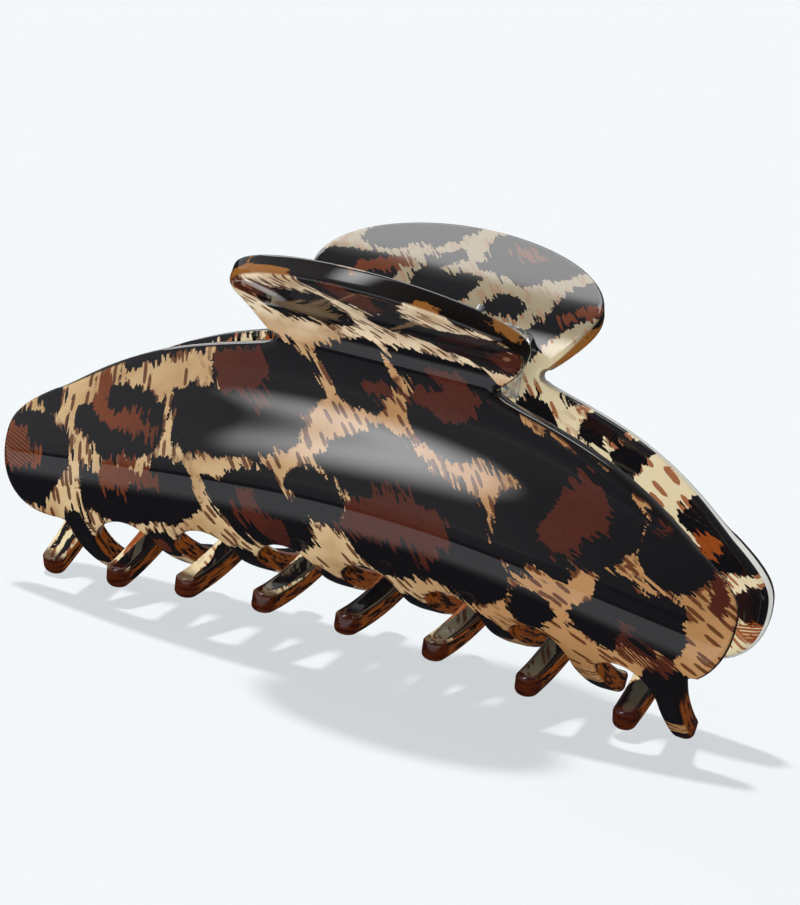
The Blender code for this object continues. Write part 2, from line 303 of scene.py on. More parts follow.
@dataclass(frozen=True)
class LeopardPrint:
    """Polished sheet with a leopard print: cream ground, dark spots, rust centres and dashes, amber rims.

    Places are millimetres on the flat blank: x along the clip and s up from the neck's foot, with face from
    -1 on the inner face to 1 on the outer one. A range runs from where a colour or mask starts to where it is
    full.
    """

    blank: "JawBlank"
    cream_left: str = "D3AF82"
    cream_right: str = "C69362"
    cream_inner: str = "F2DFB6"
    # Painted light: a lighter cream for the lower left of the blade, where it faces the floor.
    painted_light_cream: str = "E6C698"
    cream_tab: str = "FAE2BE"
    cream_tab_inner: str = "A2947A"
    cream_tooth: str = "F6E2B6"
    gold: str = "A87A48"
    black: str = "161417"
    rust_outer: str = "54271C"
    rust_left: str = "7E4022"
    rust_inner: str = "9C4C1E"
    rust_tab: str = "6E3820"
    dash: str = "5C2C16"
    amber: str = "9A622C"
    amber_tooth: str = "8C481A"
    rim_dark: str = "16100E"
    # Painted light: a whitish band for the pale backdrop seen through the clear rim.
    rim_painted_backlight: str = "F4F1EA"
    tip: str = "3A140D"
    roughness: float = 0.025
    wave_scale: float = 0.06
    wave_roughness: float = 0.02
    wave_strength: float = 0.05
    wave_height: float = 0.2 * MM
    refraction: float = 1.5
    black_fur: Fur = Fur(0.0, 1.7, 0.04)
    fringe_fur: Fur = Fur(31.0, 2.4, 0.06)
    rust_fur: Fur = Fur(57.0, 1.9, 0.14)
    fur_degrees: Triple = (-80.0, -48.0, -16.0)
    fur_left: Range = (-20.0, -28.0)
    fur_right: Range = (18.0, 28.0)
    fur_off_teeth: Range = (-33.0, -27.0)
    strand_stretch: Size = (2.3, 0.26)
    tuft_scale: float = 0.22
    tufts: Range = (0.36, 0.64)
    short_hair: Size = (2.3, 0.5)
    fine_hair: Size = (4.4, 0.3)
    fringe_scale: float = 0.3
    fringes: Range = (0.5, 0.58)
    cream_rightward: Range = (-35.0, 20.0)
    painted_light_downward: Range = (-10.0, -24.0)
    painted_light_leftward: Range = (25.0, 0.0)
    painted_light_share: float = 0.8
    gold_scale: float = 0.12
    gold_patches: Range = (0.40, 0.75)
    gold_share: float = 0.8
    gold_less_inside: float = 0.8
    outer_tab: Range = (1.0, 6.0)
    inner_tab: Range = (3.0, 7.0)
    inner_teeth: Range = (-26.0, -30.0)
    rust_leftward: Range = (-18.0, -46.0)
    rust_up_tab: Range = (2.0, 6.0)
    mottle_scale: float = 0.9
    mottles: Range = (0.45, 0.8)
    mottle_share: float = 0.3
    stroke_share: float = 0.9
    sparse_tab: Range = (4.0, 9.0)
    sparse_share: float = 0.7
    dash_cell: Size = (3.4, 1.15)
    dash_half_width: float = 0.27
    dash_missing: float = 0.16
    dash_below_neck: Range = (2.0, -1.0)
    dash_above_neck: Range = (5.0, 6.0)
    hatch_slope: float = 0.55
    hatch_turn: float = 13.0
    hatch_lines: Range = (0.1, 0.5)
    hatch_share: float = 0.8
    below_neck: Range = (3.0, 0.0)
    tooth_walls: Range = (-27.0, -31.0)
    streak_stretch: Triple = (0.9, 0.9, 2.5)
    grain_stretch: Triple = (0.3, 0.22, 3.0)
    wall_edge: Range = (0.90, 0.70)
    wrap_leftward: Range = (-14.0, -20.0)
    wrap_edge: Range = (-0.20, -0.28)
    painted_backlight_edge: Range = (0.42, 0.32)
    painted_backlight_share: float = 0.95
    tip_edge: Range = (3.2, 1.2)
    tip_share: float = 0.85

    def material(self) -> bpy.types.Material:
        """Builds the material from the attributes that the print leaves on a jaw."""
        made, g = new_material("printed_sheet")
        x, s, face = g.split(g.attribute("sheet", "Vector"))
        inner = face < 0.0
        black = self._furred(g, "black", self.black_fur)
        rust = self._furred(g, "rust", self.rust_fur) * (1.0 - self._hatch(g, x, s) * self.hatch_share)
        printed = g.mix(black, self._ground(g, x, s, inner), colour(self.black))
        printed = g.mix(rust, printed, self._rust_tone(g, x, s, inner))
        wavy = g.noise(g.join(x, s), self.wave_scale, 1.0)
        g.surface(
            {
                "Base Color": self._rimmed(g, printed, x, s, face),
                "Roughness": wavy * self.wave_roughness + self.roughness,
                "IOR": self.refraction,
                "Normal": g.bump(wavy, self.wave_strength, self.wave_height),
            }
        )
        return made

    def _ground(self, g: Graph, x: Value, s: Value, inner: Value) -> Value:
        """The cream ground, shaded with gold, lightened towards the blade's lower left by painted light, and
        strewn with dashes and loose hairs.

        Args:
            g: The graph.
            x: Place along the blank.
            s: Place up the blank.
            inner: 1 on the inner face.

        Returns:
            The ground's colour.
        """
        flat = g.join(x, s)
        outside = g.mix(x.eased(*self.cream_rightward), colour(self.cream_left), colour(self.cream_right))
        # Painted light: the outer cream turns lighter down and to the left of the blade.
        low = s.eased(*self.painted_light_downward) * x.eased(*self.painted_light_leftward) * self.painted_light_share
        outside = g.mix(low, outside, colour(self.painted_light_cream))
        outside = g.mix(s.eased(*self.outer_tab), outside, colour(self.cream_tab))
        inside = g.mix(s.eased(*self.inner_tab), colour(self.cream_inner), colour(self.cream_tab_inner))
        inside = g.mix(s.eased(*self.inner_teeth), inside, colour(self.cream_tooth))
        golden = g.noise(flat, self.gold_scale, 3.0).eased(*self.gold_patches) * self.gold_share
        golden = golden * (1.0 - inner * self.gold_less_inside)
        cream = g.mix(golden, g.mix(inner, outside, inside), colour(self.gold))
        fringe = self._furred(g, "black", self.fringe_fur)
        fringe = fringe * g.noise(flat, self.fringe_scale, 1.0).eased(*self.fringes)
        strokes = self._dashes(g, x * (1.0 - inner * 2.0), s).most(fringe)
        strokes = strokes * (1.0 - inner * s.eased(*self.sparse_tab) * self.sparse_share)
        tone = g.mix(inner, colour(self.dash), colour(self.rust_inner))
        return g.mix(strokes * self.stroke_share, cream, tone)

    def _rust_tone(self, g: Graph, x: Value, s: Value, inner: Value) -> Value:
        """The rust of the spots' centres, mottled with black.

        Args:
            g: The graph.
            x: Place along the blank.
            s: Place up the blank.
            inner: 1 on the inner face.

        Returns:
            The rust's colour.
        """
        outside = g.mix(x.eased(*self.rust_leftward), colour(self.rust_outer), colour(self.rust_left))
        inside = g.mix(s.eased(*self.rust_up_tab), colour(self.rust_inner), colour(self.rust_tab))
        mottle = g.noise(g.join(x, s), self.mottle_scale, 4.0, 0.7).eased(*self.mottles)
        return g.mix(mottle * self.mottle_share, g.mix(inner, outside, inside), colour(self.black))

    @staticmethod
    def _hairs(g: Graph, place: Value, hair: Size) -> Value:
        """Hairs that taper to a point, each with its own length.

        Args:
            g: The graph.
            place: Nearest point on the outline.
            hair: How many lie on a millimetre, and the longest one's length in millimetres.

        Returns:
            The hairs' reach.
        """
        scale, length = hair
        taper = (1.0 - g.cells(place, scale) * 1.8).most(0.0)
        return taper * (g.chance(place, scale) * 0.85 + 0.15) * length

    def _furred(self, g: Graph, name: str, fur: Fur) -> Value:
        """Mask of spots whose edges are drawn out in hairs, long in some places and short in others.

        Args:
            g: The graph.
            name: Attribute that holds the distance to the outline and the nearest point on it.
            fur: The hairs.

        Returns:
            1 inside the spots.
        """
        away, nearest_x, nearest_s = g.split(g.attribute(name, "Vector"))
        x, s, face = g.split(g.attribute("sheet", "Vector"))
        x = x * (1.0 - (face < 0.0) * 2.0)
        nearest = g.join(nearest_x + fur.seed, nearest_s)
        wild = g.noise(nearest, self.tuft_scale, 1.0).eased(*self.tufts)
        lying = [self._strands(g, x + fur.seed, s, degrees) * zone for degrees, zone in self._zones(x)]
        long = (lying[0] + lying[1] + lying[2]) * (wild * 0.75 + 0.25) * fur.length
        reach = long + self._hairs(g, nearest, self.short_hair) + self._hairs(g, nearest, self.fine_hair)
        kept = s.eased(*self.fur_off_teeth) * 0.8 + 0.2
        return (reach * kept - away).eased(-fur.soft, fur.soft)

    def _zones(self, x: Value) -> list[tuple[float, Value]]:
        """Directions of the fur in degrees, each with the share that it has at x."""
        left, right = x.eased(*self.fur_left), x.eased(*self.fur_right)
        return list(zip(self.fur_degrees, (left, 1.0 - left - right, right)))

    def _strands(self, g: Graph, x: Value, s: Value, degrees: float) -> Value:
        """Reach of hairs that lie in one direction. Some stay short of the outline.

        Args:
            g: The graph.
            x: Place along the blank.
            s: Place up the blank.
            degrees: The direction.

        Returns:
            The reach, about -0.5 to 1.2.
        """
        along, across = turned(x, s, degrees)
        place = g.join(across * self.strand_stretch[0], along * self.strand_stretch[1])
        return (g.chance(place, 1.0) * 1.5 - 0.45) * (1.15 - g.cells(place, 1.0))

    def _dashes(self, g: Graph, x: Value, s: Value) -> Value:
        """Mask of the short rust strokes on the cream ground, which turn with the fur.

        Args:
            g: The graph.
            x: Place along the blank.
            s: Place up the blank.

        Returns:
            1 inside the strokes.
        """
        length, spacing = self.dash_cell
        strokes = []
        for degrees, zone in self._zones(x):
            along, across = turned(x, s, degrees)
            place = g.join(along / length, across / spacing)
            chance = g.chance(place, 1.0)
            off_along, off_across, _ = g.split(g.apart(place, g.cells(place, 1.0, "Position")))
            ragged = (g.noise(g.join(x, s), 3.0, 2.0) - 0.5) * 0.9
            end = abs(off_along) * length / (chance * 0.6 + 0.95)
            side = abs(off_across) * spacing / self.dash_half_width
            stroke = (end * end * end + side * side + ragged).eased(1.1, 0.8)
            strokes.append(stroke * (chance > self.dash_missing) * zone)
        off_neck = s.eased(*self.dash_below_neck).most(s.eased(*self.dash_above_neck))
        return (strokes[0] + strokes[1] + strokes[2]) * off_neck

    def _hatch(self, g: Graph, x: Value, s: Value) -> Value:
        """Mask of the fine slanted lines that break up some of the rust."""
        wave = ((x * self.hatch_slope + s) * self.hatch_turn).sine()
        return wave.eased(*self.hatch_lines) * g.attribute("hatch")

    def _walls(self, g: Graph, x: Value, s: Value, face: Value) -> Value:
        """The sheet's cut sides: amber, dark beside dark print and below the neck, grained on the teeth.

        Args:
            g: The graph.
            x: Place along the blank.
            s: Place up the blank.
            face: Place through the sheet.

        Returns:
            The sides' colour.
        """
        away = g.split(g.attribute("black", "Vector"))[0]
        wide, high, deep = self.streak_stretch
        streaks = g.noise(g.join(x * wide, s * high, face * deep), 1.0, 3.0, 0.65)
        dark = (streaks * 3.4 - 0.3 - away).eased(-0.3, 0.3).most(s.eased(*self.below_neck))
        wide, high, deep = self.grain_stretch
        grain = g.noise(g.join(x * wide, s * high, face * deep), 1.0, 3.0, 0.6).eased(0.46, 0.58)
        plate = g.mix(dark, colour(self.amber), colour(self.rim_dark))
        tooth = g.mix(grain, colour(self.amber_tooth), colour(self.rim_dark))
        return g.mix(s.eased(*self.tooth_walls), plate, tooth)

    def _rimmed(self, g: Graph, printed: Value, x: Value, s: Value, face: Value) -> Value:
        """Colours the rim and the tooth tips, which are red-brown.

        On the blade's left shoulder the inner print wraps over the rim, up to a whitish line of painted
        light: the pale backdrop seen through the clear edge.

        Args:
            g: The graph.
            printed: The print's colour.
            x: Place along the blank.
            s: Place up the blank.
            face: Place through the sheet.

        Returns:
            The colour with rim and tips.
        """
        plate = s.eased(*self.below_neck) * (1.0 - s.eased(*self.tooth_walls))
        shoulder = plate * x.eased(*self.wrap_leftward)
        wrapped = face.eased(*self.wrap_edge)
        walls = abs(face).eased(*self.wall_edge) * (1.0 - shoulder * wrapped)
        printed = g.mix(walls, printed, self._walls(g, x, s, face))
        # Painted light: on the shoulder's rim a whitish band stands in for the pale backdrop seen through the
        # clear edge.
        clear = shoulder * face.eased(*self.painted_backlight_edge) * (1.0 - wrapped)
        printed = g.mix(clear * self.painted_backlight_share, printed, colour(self.rim_painted_backlight))
        share = x / (self.blank.last_tooth / MM)
        above_tip = s + self.blank.tip_drop / MM - share * share * (self.blank.end_shorter / MM)
        return g.mix(above_tip.eased(*self.tip_edge) * self.tip_share, printed, colour(self.tip))


@dataclass(frozen=True)
class ClearAcrylic:
    """Clear polished acrylic with a slight haze."""

    tint: str = "E8ECEC"
    haze_tint: str = "C8D0D2"
    haze_scale: float = 900.0
    haze_share: float = 0.3
    haze_roughness: float = 0.06
    roughness: float = 0.03
    refraction: float = 1.49
    transmission: float = 0.85

    def material(self) -> bpy.types.Material:
        """Builds the material."""
        made, g = new_material("clear_acrylic")
        haze = g.noise(g.place(), self.haze_scale, 3.0)
        g.surface(
            {
                "Base Color": g.mix(haze * self.haze_share, colour(self.tint), colour(self.haze_tint)),
                "Roughness": haze * self.haze_roughness + self.roughness,
                "IOR": self.refraction,
                "Transmission Weight": self.transmission,
            }
        )
        return made


@dataclass(frozen=True)
class BrightSteel:
    """Steel with fine drawing marks along or round the piece."""

    name: str
    base: str
    roughness: float
    stretch: Triple
    shine: str = "D8D8DA"
    mark_roughness: float = 0.15
    mark_strength: float = 0.12
    mark_height: float = 0.1 * MM

    def material(self) -> bpy.types.Material:
        """Builds the material."""
        made, g = new_material(self.name)
        drawn = g.node("ShaderNodeMapping", None, {"Vector": g.place(), "Scale": self.stretch})
        marks = g.noise(drawn, 1.0, 4.0, 0.6)
        g.surface(
            {
                "Base Color": g.mix(marks, colour(self.base), colour(self.shine)),
                "Metallic": 1.0,
                "Roughness": marks * self.mark_roughness + self.roughness,
                "Normal": g.bump(marks, self.mark_strength, self.mark_height),
            }
        )
        return made


@dataclass(frozen=True)
class PaleFloor:
    """Matt white paper.

    In reflections only a strip of it in front of the clip is bright. In front of it lies a dark flag, which
    turns grey far out and to the left. Under and behind the clip the floor is just as dark in reflections,
    which is painted shade of the clip. Places are in metres.
    """

    tone: Colour = (0.90, 0.925, 0.94, 1.0)
    grain_tone: Colour = (0.86, 0.88, 0.90, 1.0)
    grain_scale: float = 60.0
    grain_share: float = 0.02
    roughness: float = 0.9
    # Dark of the front flag, and also painted shade under the clip in reflections.
    dark_flag_and_painted_shade: Colour = (0.02, 0.02, 0.022, 1.0)
    far_grey: Colour = (0.40, 0.40, 0.41, 1.0)
    front: float = -0.078
    painted_shade_edge: Range = (-0.040, -0.028)
    far_edge: Range = (-0.108, -0.090)
    leftward: Range = (0.15, -0.25)

    def material(self) -> bpy.types.Material:
        """Builds the material."""
        made, g = new_material("pale_floor")
        place = g.place()
        x, y, _ = g.split(place)
        grain = g.noise(place, self.grain_scale, 2.0) * self.grain_share
        paper = g.mix(grain, self.tone, self.grain_tone)
        far = g.mix(x.eased(*self.leftward), self.dark_flag_and_painted_shade, self.far_grey)
        flags_and_painted_shade = g.mix(y.eased(*self.far_edge), far, self.dark_flag_and_painted_shade)
        # Painted shade: under and behind the clip the floor turns dark in reflections, as if in the clip's
        # shadow.
        flagged_or_painted_shade = (y < self.front).most(y.eased(*self.painted_shade_edge))
        g.surface(
            {
                "Base Color": g.mix(flagged_or_painted_shade * g.glossy_ray(), paper, flags_and_painted_shade),
                "Roughness": self.roughness,
                "Specular IOR Level": 0.0,
            }
        )
        return made


# Layout of the print


@dataclass(frozen=True)
class Spot:
    """One spot of the print, in millimetres on the flat blank: x along it and s up from the neck's foot."""

    dark: Outline = ()
    rust: Outline = ()


OUTER_SPOTS: tuple[Spot, ...] = (
    # Blade and neck
    Spot(
        dark=(
            (-52, -11.5), (-48.5, -12), (-46.5, -12.5), (-44.5, -13.5), (-43, -14.5), (-42, -15.5),
            (-41.5, -17), (-41.5, -18.5), (-42, -20), (-42.5, -21), (-43.5, -22), (-44.5, -23.5),
            (-46, -24.5), (-49, -24), (-53, -21), (-54, -17),
        ),
        rust=(
            (-54, -16.5), (-51.5, -14), (-49.5, -14.5), (-48.5, -15.5), (-48, -17), (-47, -17),
            (-46.5, -18.5), (-48.5, -19), (-50, -19), (-53, -18.5),
        ),
    ),
    Spot(
        dark=(
            (-49, -9.5), (-46.5, -7.5), (-45.2, -8), (-45, -10), (-45, -11.5), (-45.5, -12), (-46.5, -11.5),
            (-48, -10.5),
        ),
    ),
    Spot(
        dark=(
            (-41.5, -11), (-40, -11), (-39, -9), (-38, -7.5), (-35.5, -8), (-33, -8.5), (-31, -8.5),
            (-30.5, -10), (-29, -10.5), (-28.5, -12), (-28, -13.5), (-28, -15), (-28.5, -16.5), (-30, -17),
            (-31.5, -17.5), (-33.5, -17.5), (-35, -18), (-36.5, -17), (-38, -15.5), (-39.5, -15),
            (-41, -13.5), (-41.5, -12),
        ),
        rust=(
            (-40.5, -6.3), (-39.7, -8), (-39.7, -9.5), (-39.5, -11), (-38.5, -12), (-37, -13), (-35, -14),
            (-34, -13.2), (-32, -13.5), (-30.5, -14.2), (-29, -15.2), (-29, -14.4), (-30.5, -13.3),
            (-32.5, -12.5), (-34.5, -12.2), (-36, -12.2), (-37.5, -11.3), (-38.3, -10), (-38.6, -8),
            (-39.3, -6.6),
        ),
    ),
    Spot(
        dark=(
            (-36.5, -5.2), (-35.5, -4), (-32.5, -3), (-30, -2.4), (-27.5, -2), (-25.5, -2.5), (-25.5, -3),
            (-27.5, -2.9), (-29, -3.2), (-30.5, -3.6), (-31.5, -4), (-32, -4.4), (-33.5, -4.6),
            (-34.5, -5.2), (-35.5, -5.4),
        ),
    ),
    Spot(
        dark=(
            (-29, -7), (-27.5, -9.5), (-26.5, -11.5), (-26, -13.5), (-25, -16), (-20.5, -16), (-16, -15.5),
            (-13, -15), (-11, -14.2), (-9.3, -13.6), (-8.5, -12.5), (-9.3, -11.5), (-8.5, -10.5),
            (-10, -9.5), (-8.8, -8.3), (-8, -6.5), (-7, -5), (-8.5, -3.5), (-9.3, -2.2), (-10, -1),
            (-12, 0), (-15, 1.2), (-17.5, 0.8), (-20, 0.4), (-23, -0.6), (-24, -3.2), (-23, -5),
            (-21.5, -7.2), (-23.5, -6.5), (-24.5, -7.5), (-26, -6.2), (-27, -8.2),
        ),
        rust=(
            (-24.5, -3), (-23, -4.2), (-22.6, -5.2), (-20.8, -8), (-20.3, -6.2), (-19, -5.8), (-17.2, -7.2),
            (-15.3, -9.2), (-16.5, -6.8), (-17, -5.8), (-15.8, -4.5), (-15.8, -3), (-17.3, -1.5),
            (-19, -1.3), (-21, -2), (-22.5, -2.6),
        ),
    ),
    Spot(
        dark=(
            (-9.5, 1.2), (-7.5, 1.8), (-6.5, 3), (-4.5, 4), (-3, 5.3), (-1, 4.5), (-0.2, 2.8), (0.3, 1),
            (1.7, -0.5), (2, -1.8), (1.5, -3.2), (1, -2.2), (1, -5), (0.8, -6.5), (-1, -6), (-3.5, -5.5),
            (-5, -4.5), (-6.2, -3.5), (-7, -2.5), (-8, -1), (-9.2, 0),
        ),
        rust=((-2, -2), (-0.5, -2), (1, -2.5), (1, -3.5), (-0.5, -3.5), (-2, -3)),
    ),
    Spot(
        dark=(
            (0.5, 4.6), (3.5, 4.6), (6.5, 5), (9, 4.6), (12, 4.6), (14.5, 4.3), (16, 2.8), (17, 1),
            (18.5, 0), (19.5, -2.3), (21, -2.5), (23, -3.2), (25, -2.6), (27, -3), (30, -3.6), (32.5, -4.4),
            (34, -4), (36, -4.6), (37.3, -6), (39, -6.2), (38.2, -8), (39, -9.5), (38.5, -11.5),
            (37.5, -13), (36, -15), (34.5, -16), (33, -16), (31, -15.5), (30.3, -16.2), (32, -17.2),
            (31.5, -18), (29.5, -18.5), (26.5, -18.7), (23, -19.2), (21, -18.3), (20.4, -15.5), (20, -13),
            (20.2, -11.2), (23, -10.4), (22.3, -9), (19, -8.5), (16, -8.2), (14.5, -8.6), (12.5, -9.5),
            (10, -9.1), (8.5, -8.5), (6.5, -7.5), (5, -6), (4.8, -4.2), (4.6, -3.2), (6, -2.6), (5, -1.8),
            (5, -0.6), (3, 0), (2, 1), (1, 2.5),
        ),
        rust=(
            (6, 2), (8.5, 2), (11, 2.5), (12.5, 0), (14, -1), (14, -3), (11.5, -4), (9.5, -4.5), (8, -3.5),
            (6, -3), (4.5, -3), (5, -1.5), (7.5, -1.5), (9.5, -1), (8.5, 0.5), (7, 1),
        ),
    ),
    Spot(
        rust=(
            (28, -7.5), (29, -7), (30, -5.5), (31.5, -5.5), (32.5, -6.5), (34, -7.5), (34, -9.5),
            (33, -11.5), (31.5, -12.5), (31, -14.5), (29.5, -16), (28, -15.5), (26.5, -15), (26.5, -13),
            (27.5, -11), (27.5, -9),
        ),
    ),
    Spot(
        dark=(
            (-2.5, -11), (0, -9), (1.5, -8.1), (3.5, -8.5), (5.5, -9), (7.5, -10.5), (9.5, -11.5),
            (10, -12.5), (13.5, -12.5), (15, -13), (17, -13.2), (18, -14.5), (19.2, -15.3), (20, -16.3),
            (20.8, -18.2), (23, -19.3), (23.5, -21.5), (23.5, -23.5), (21, -25), (18.5, -27), (15, -24.7),
            (13, -24.6), (10.5, -25.6), (8.5, -26.6), (6, -26.6), (4.5, -26), (2.5, -25), (1, -22.7),
            (-0.5, -21.4), (0.5, -19.3), (1.5, -18), (-0.5, -17), (-1.5, -16), (-3.5, -15.5), (-5, -15),
            (-5, -14), (-4, -13), (-4.2, -11.7),
        ),
        rust=(
            (0.5, -18), (3.5, -17.5), (4.5, -16), (5.5, -16.5), (8, -16), (10.5, -16.5), (13, -16.5),
            (14.5, -18), (13.5, -18.5), (14.5, -19.5), (13, -20.5), (13, -22.5), (11.5, -21.5), (9, -21),
            (5.5, -21.5), (2.5, -22), (1, -21.5), (-0.5, -21), (0.5, -19.5),
        ),
    ),
    Spot(
        dark=(
            (-8.5, -17), (-8, -16), (-7, -15.5), (-4.5, -15.5), (-2.5, -16.5), (-1, -18), (0, -19),
            (-0.5, -21), (-2.5, -21.5), (-4, -22), (-6, -20.5), (-7, -20), (-6.5, -19), (-7.5, -18),
            (-9, -18),
        ),
    ),
    Spot(
        dark=(
            (-39, -19), (-38, -19), (-36.5, -20), (-36, -21), (-34.5, -21.5), (-33, -21), (-30.5, -20.5),
            (-28, -19), (-28.5, -17), (-26.5, -17), (-25, -17.5), (-22.5, -18.5), (-22, -20), (-22, -22),
            (-21.5, -24), (-23, -24.5), (-25, -26), (-26.5, -25.5), (-28, -25.5), (-29.5, -26.5),
            (-31, -26), (-33.5, -27), (-35, -26), (-36.5, -25), (-38, -24.5), (-38.5, -23), (-39, -21.5),
        ),
        rust=(
            (-35.5, -18.5), (-34.5, -18), (-32.5, -18.5), (-30.5, -19), (-28, -19), (-26.5, -21),
            (-28.5, -20.5), (-30.5, -20.5), (-33, -21.5), (-35, -21.5), (-36, -20),
        ),
    ),
    Spot(
        dark=(
            (-21, -18.5), (-20, -19.2), (-19.5, -20.5), (-18.5, -21.7), (-17.5, -23), (-16.3, -24),
            (-15, -25.2), (-13.5, -26.3), (-12.5, -27), (-6.5, -27), (-4.5, -25.5), (-4.5, -24),
            (-5, -22.5), (-6, -21.5), (-6.8, -20.2), (-8.2, -19.6), (-9.5, -18), (-11, -16.7), (-13, -16.8),
            (-15.5, -17.2), (-17.5, -18), (-18.5, -19), (-19.5, -18.6),
        ),
        rust=(
            (-15.5, -19), (-13.5, -20), (-12.5, -22), (-10.5, -23), (-8, -22.5), (-8.5, -25.5), (-9, -27),
            (-10, -25.5), (-12, -24.5), (-14, -23), (-15, -21.5),
        ),
    ),
    Spot(dark=((-22, -21), (-21, -21.5), (-21, -23), (-21.5, -24), (-22, -23))),
    Spot(
        dark=(
            (24.5, -22.5), (26, -21.5), (28, -21.5), (29.5, -22), (30.5, -23), (29.5, -24.5), (28, -26.5),
            (26.5, -26.5), (24.5, -25.5),
        ),
    ),
    Spot(
        dark=(
            (35, -17.5), (35.5, -16.5), (37, -15.5), (39, -15.5), (40.5, -16.5), (43, -16), (45, -15.5),
            (47, -16), (46.5, -17.5), (47, -18.5), (47.5, -20), (46, -22), (44.5, -22), (43, -23.5),
            (41.5, -23.5), (39.5, -23), (38, -24.5), (36.5, -24.5), (34.5, -24), (32.5, -23), (31.5, -22),
            (33.5, -20.5), (35, -19.5),
        ),
        rust=(
            (39, -22), (40, -21), (40.5, -22.5), (43, -23), (46, -23), (45, -24.5), (42.5, -25),
            (40.5, -24.5), (39, -24),
        ),
    ),
    Spot(
        dark=(
            (39, -11.5), (39.5, -9), (39.5, -6.5), (40.5, -4.5), (43, -4.5), (46, -5.5), (48.5, -8),
            (48.5, -11), (47, -13), (46.5, -13.5), (45, -14), (43, -14), (41, -14), (40, -13),
        ),
        rust=((41, -7), (42.5, -6), (43, -5.5), (42.5, -6.5), (41.5, -7.5)),
    ),
    Spot(rust=((48, -10), (50, -9.5), (51.5, -12), (51, -14), (49.5, -14.5), (49.5, -12.5))),
    # Tab
    Spot(
        dark=(
            (-16.5, 13), (-13, 16), (-9, 17.5), (-5.5, 17), (-4, 14.5), (-3, 8.5), (-5, 7), (-7.5, 7),
            (-10.5, 7), (-13.5, 6), (-16, 7), (-17, 10),
        ),
        rust=(
            (-18.5, 17), (-16.5, 15.5), (-14, 17), (-12.5, 15.5), (-15, 13), (-17.5, 11), (-19.5, 11.5),
            (-20, 14),
        ),
    ),
    Spot(
        dark=(
            (-7.5, 22), (-8, 27), (0, 30), (5, 30), (8, 29), (8.5, 24.5), (6, 20.5), (5.5, 16.5),
            (2.5, 15.5), (-0.5, 16), (-2.5, 17.5), (-5, 20.5),
        ),
        rust=((-3.5, 24), (-0.5, 23), (2.5, 20), (2.5, 16), (0, 17), (-2.5, 19)),
    ),
    Spot(
        dark=(
            (0.5, 14.5), (4, 16.5), (6, 16), (7.5, 14.5), (11.5, 15), (15, 15.5), (18, 16.5), (19.5, 14),
            (21, 10), (19.5, 5.5), (17, 4.5), (14, 5.5), (11.5, 7), (9, 8.5), (6.5, 10), (2.5, 9.5),
            (0.5, 12),
        ),
        rust=((16.5, 10), (20, 13), (21, 11), (19.5, 6), (17, 5)),
    ),
    Spot(dark=((11.5, 28), (13, 21.5), (16, 18), (19, 16.5), (22, 15), (20, 23), (15, 28))),
    # Teeth, from right to left
    Spot(dark=((42, -24), (50, -23), (49.5, -34), (46, -36.5), (42.5, -34.5))),
    Spot(dark=((43, -40), (49, -39.5), (49, -50), (43, -50))),
    Spot(dark=((31, -37), (36, -37), (36, -43), (33, -45), (31, -44))),
    Spot(dark=((18, -27.5), (22, -28.5), (24, -33), (21.5, -35), (19, -32))),
    Spot(dark=((19, -44), (24, -42), (24, -52), (20.5, -53))),
    Spot(dark=((6.5, -31), (9, -29.5), (11.8, -33), (11, -40), (8.5, -43), (6.8, -38))),
    Spot(dark=((-5.6, -31), (-2.5, -29.5), (-0.8, -34), (-2, -38), (-5.4, -37))),
    Spot(dark=((-4.5, -44), (-0.5, -46), (-1, -54), (-4.8, -53))),
    Spot(dark=((-18, -29), (-14, -28), (-12.6, -34), (-14.5, -41), (-17.5, -39))),
    Spot(
        dark=((-30, -28), (-25, -27.5), (-25, -33), (-27.5, -36), (-30, -34)),
        rust=((-29, -30), (-27, -29.5), (-26.5, -33), (-28.5, -33)),
    ),
    Spot(dark=((-29.8, -42), (-26, -40), (-25.2, -50), (-28, -53))),
    Spot(dark=((-42.5, -26), (-38, -25.5), (-37, -38), (-39.5, -41), (-42.5, -39))),
)

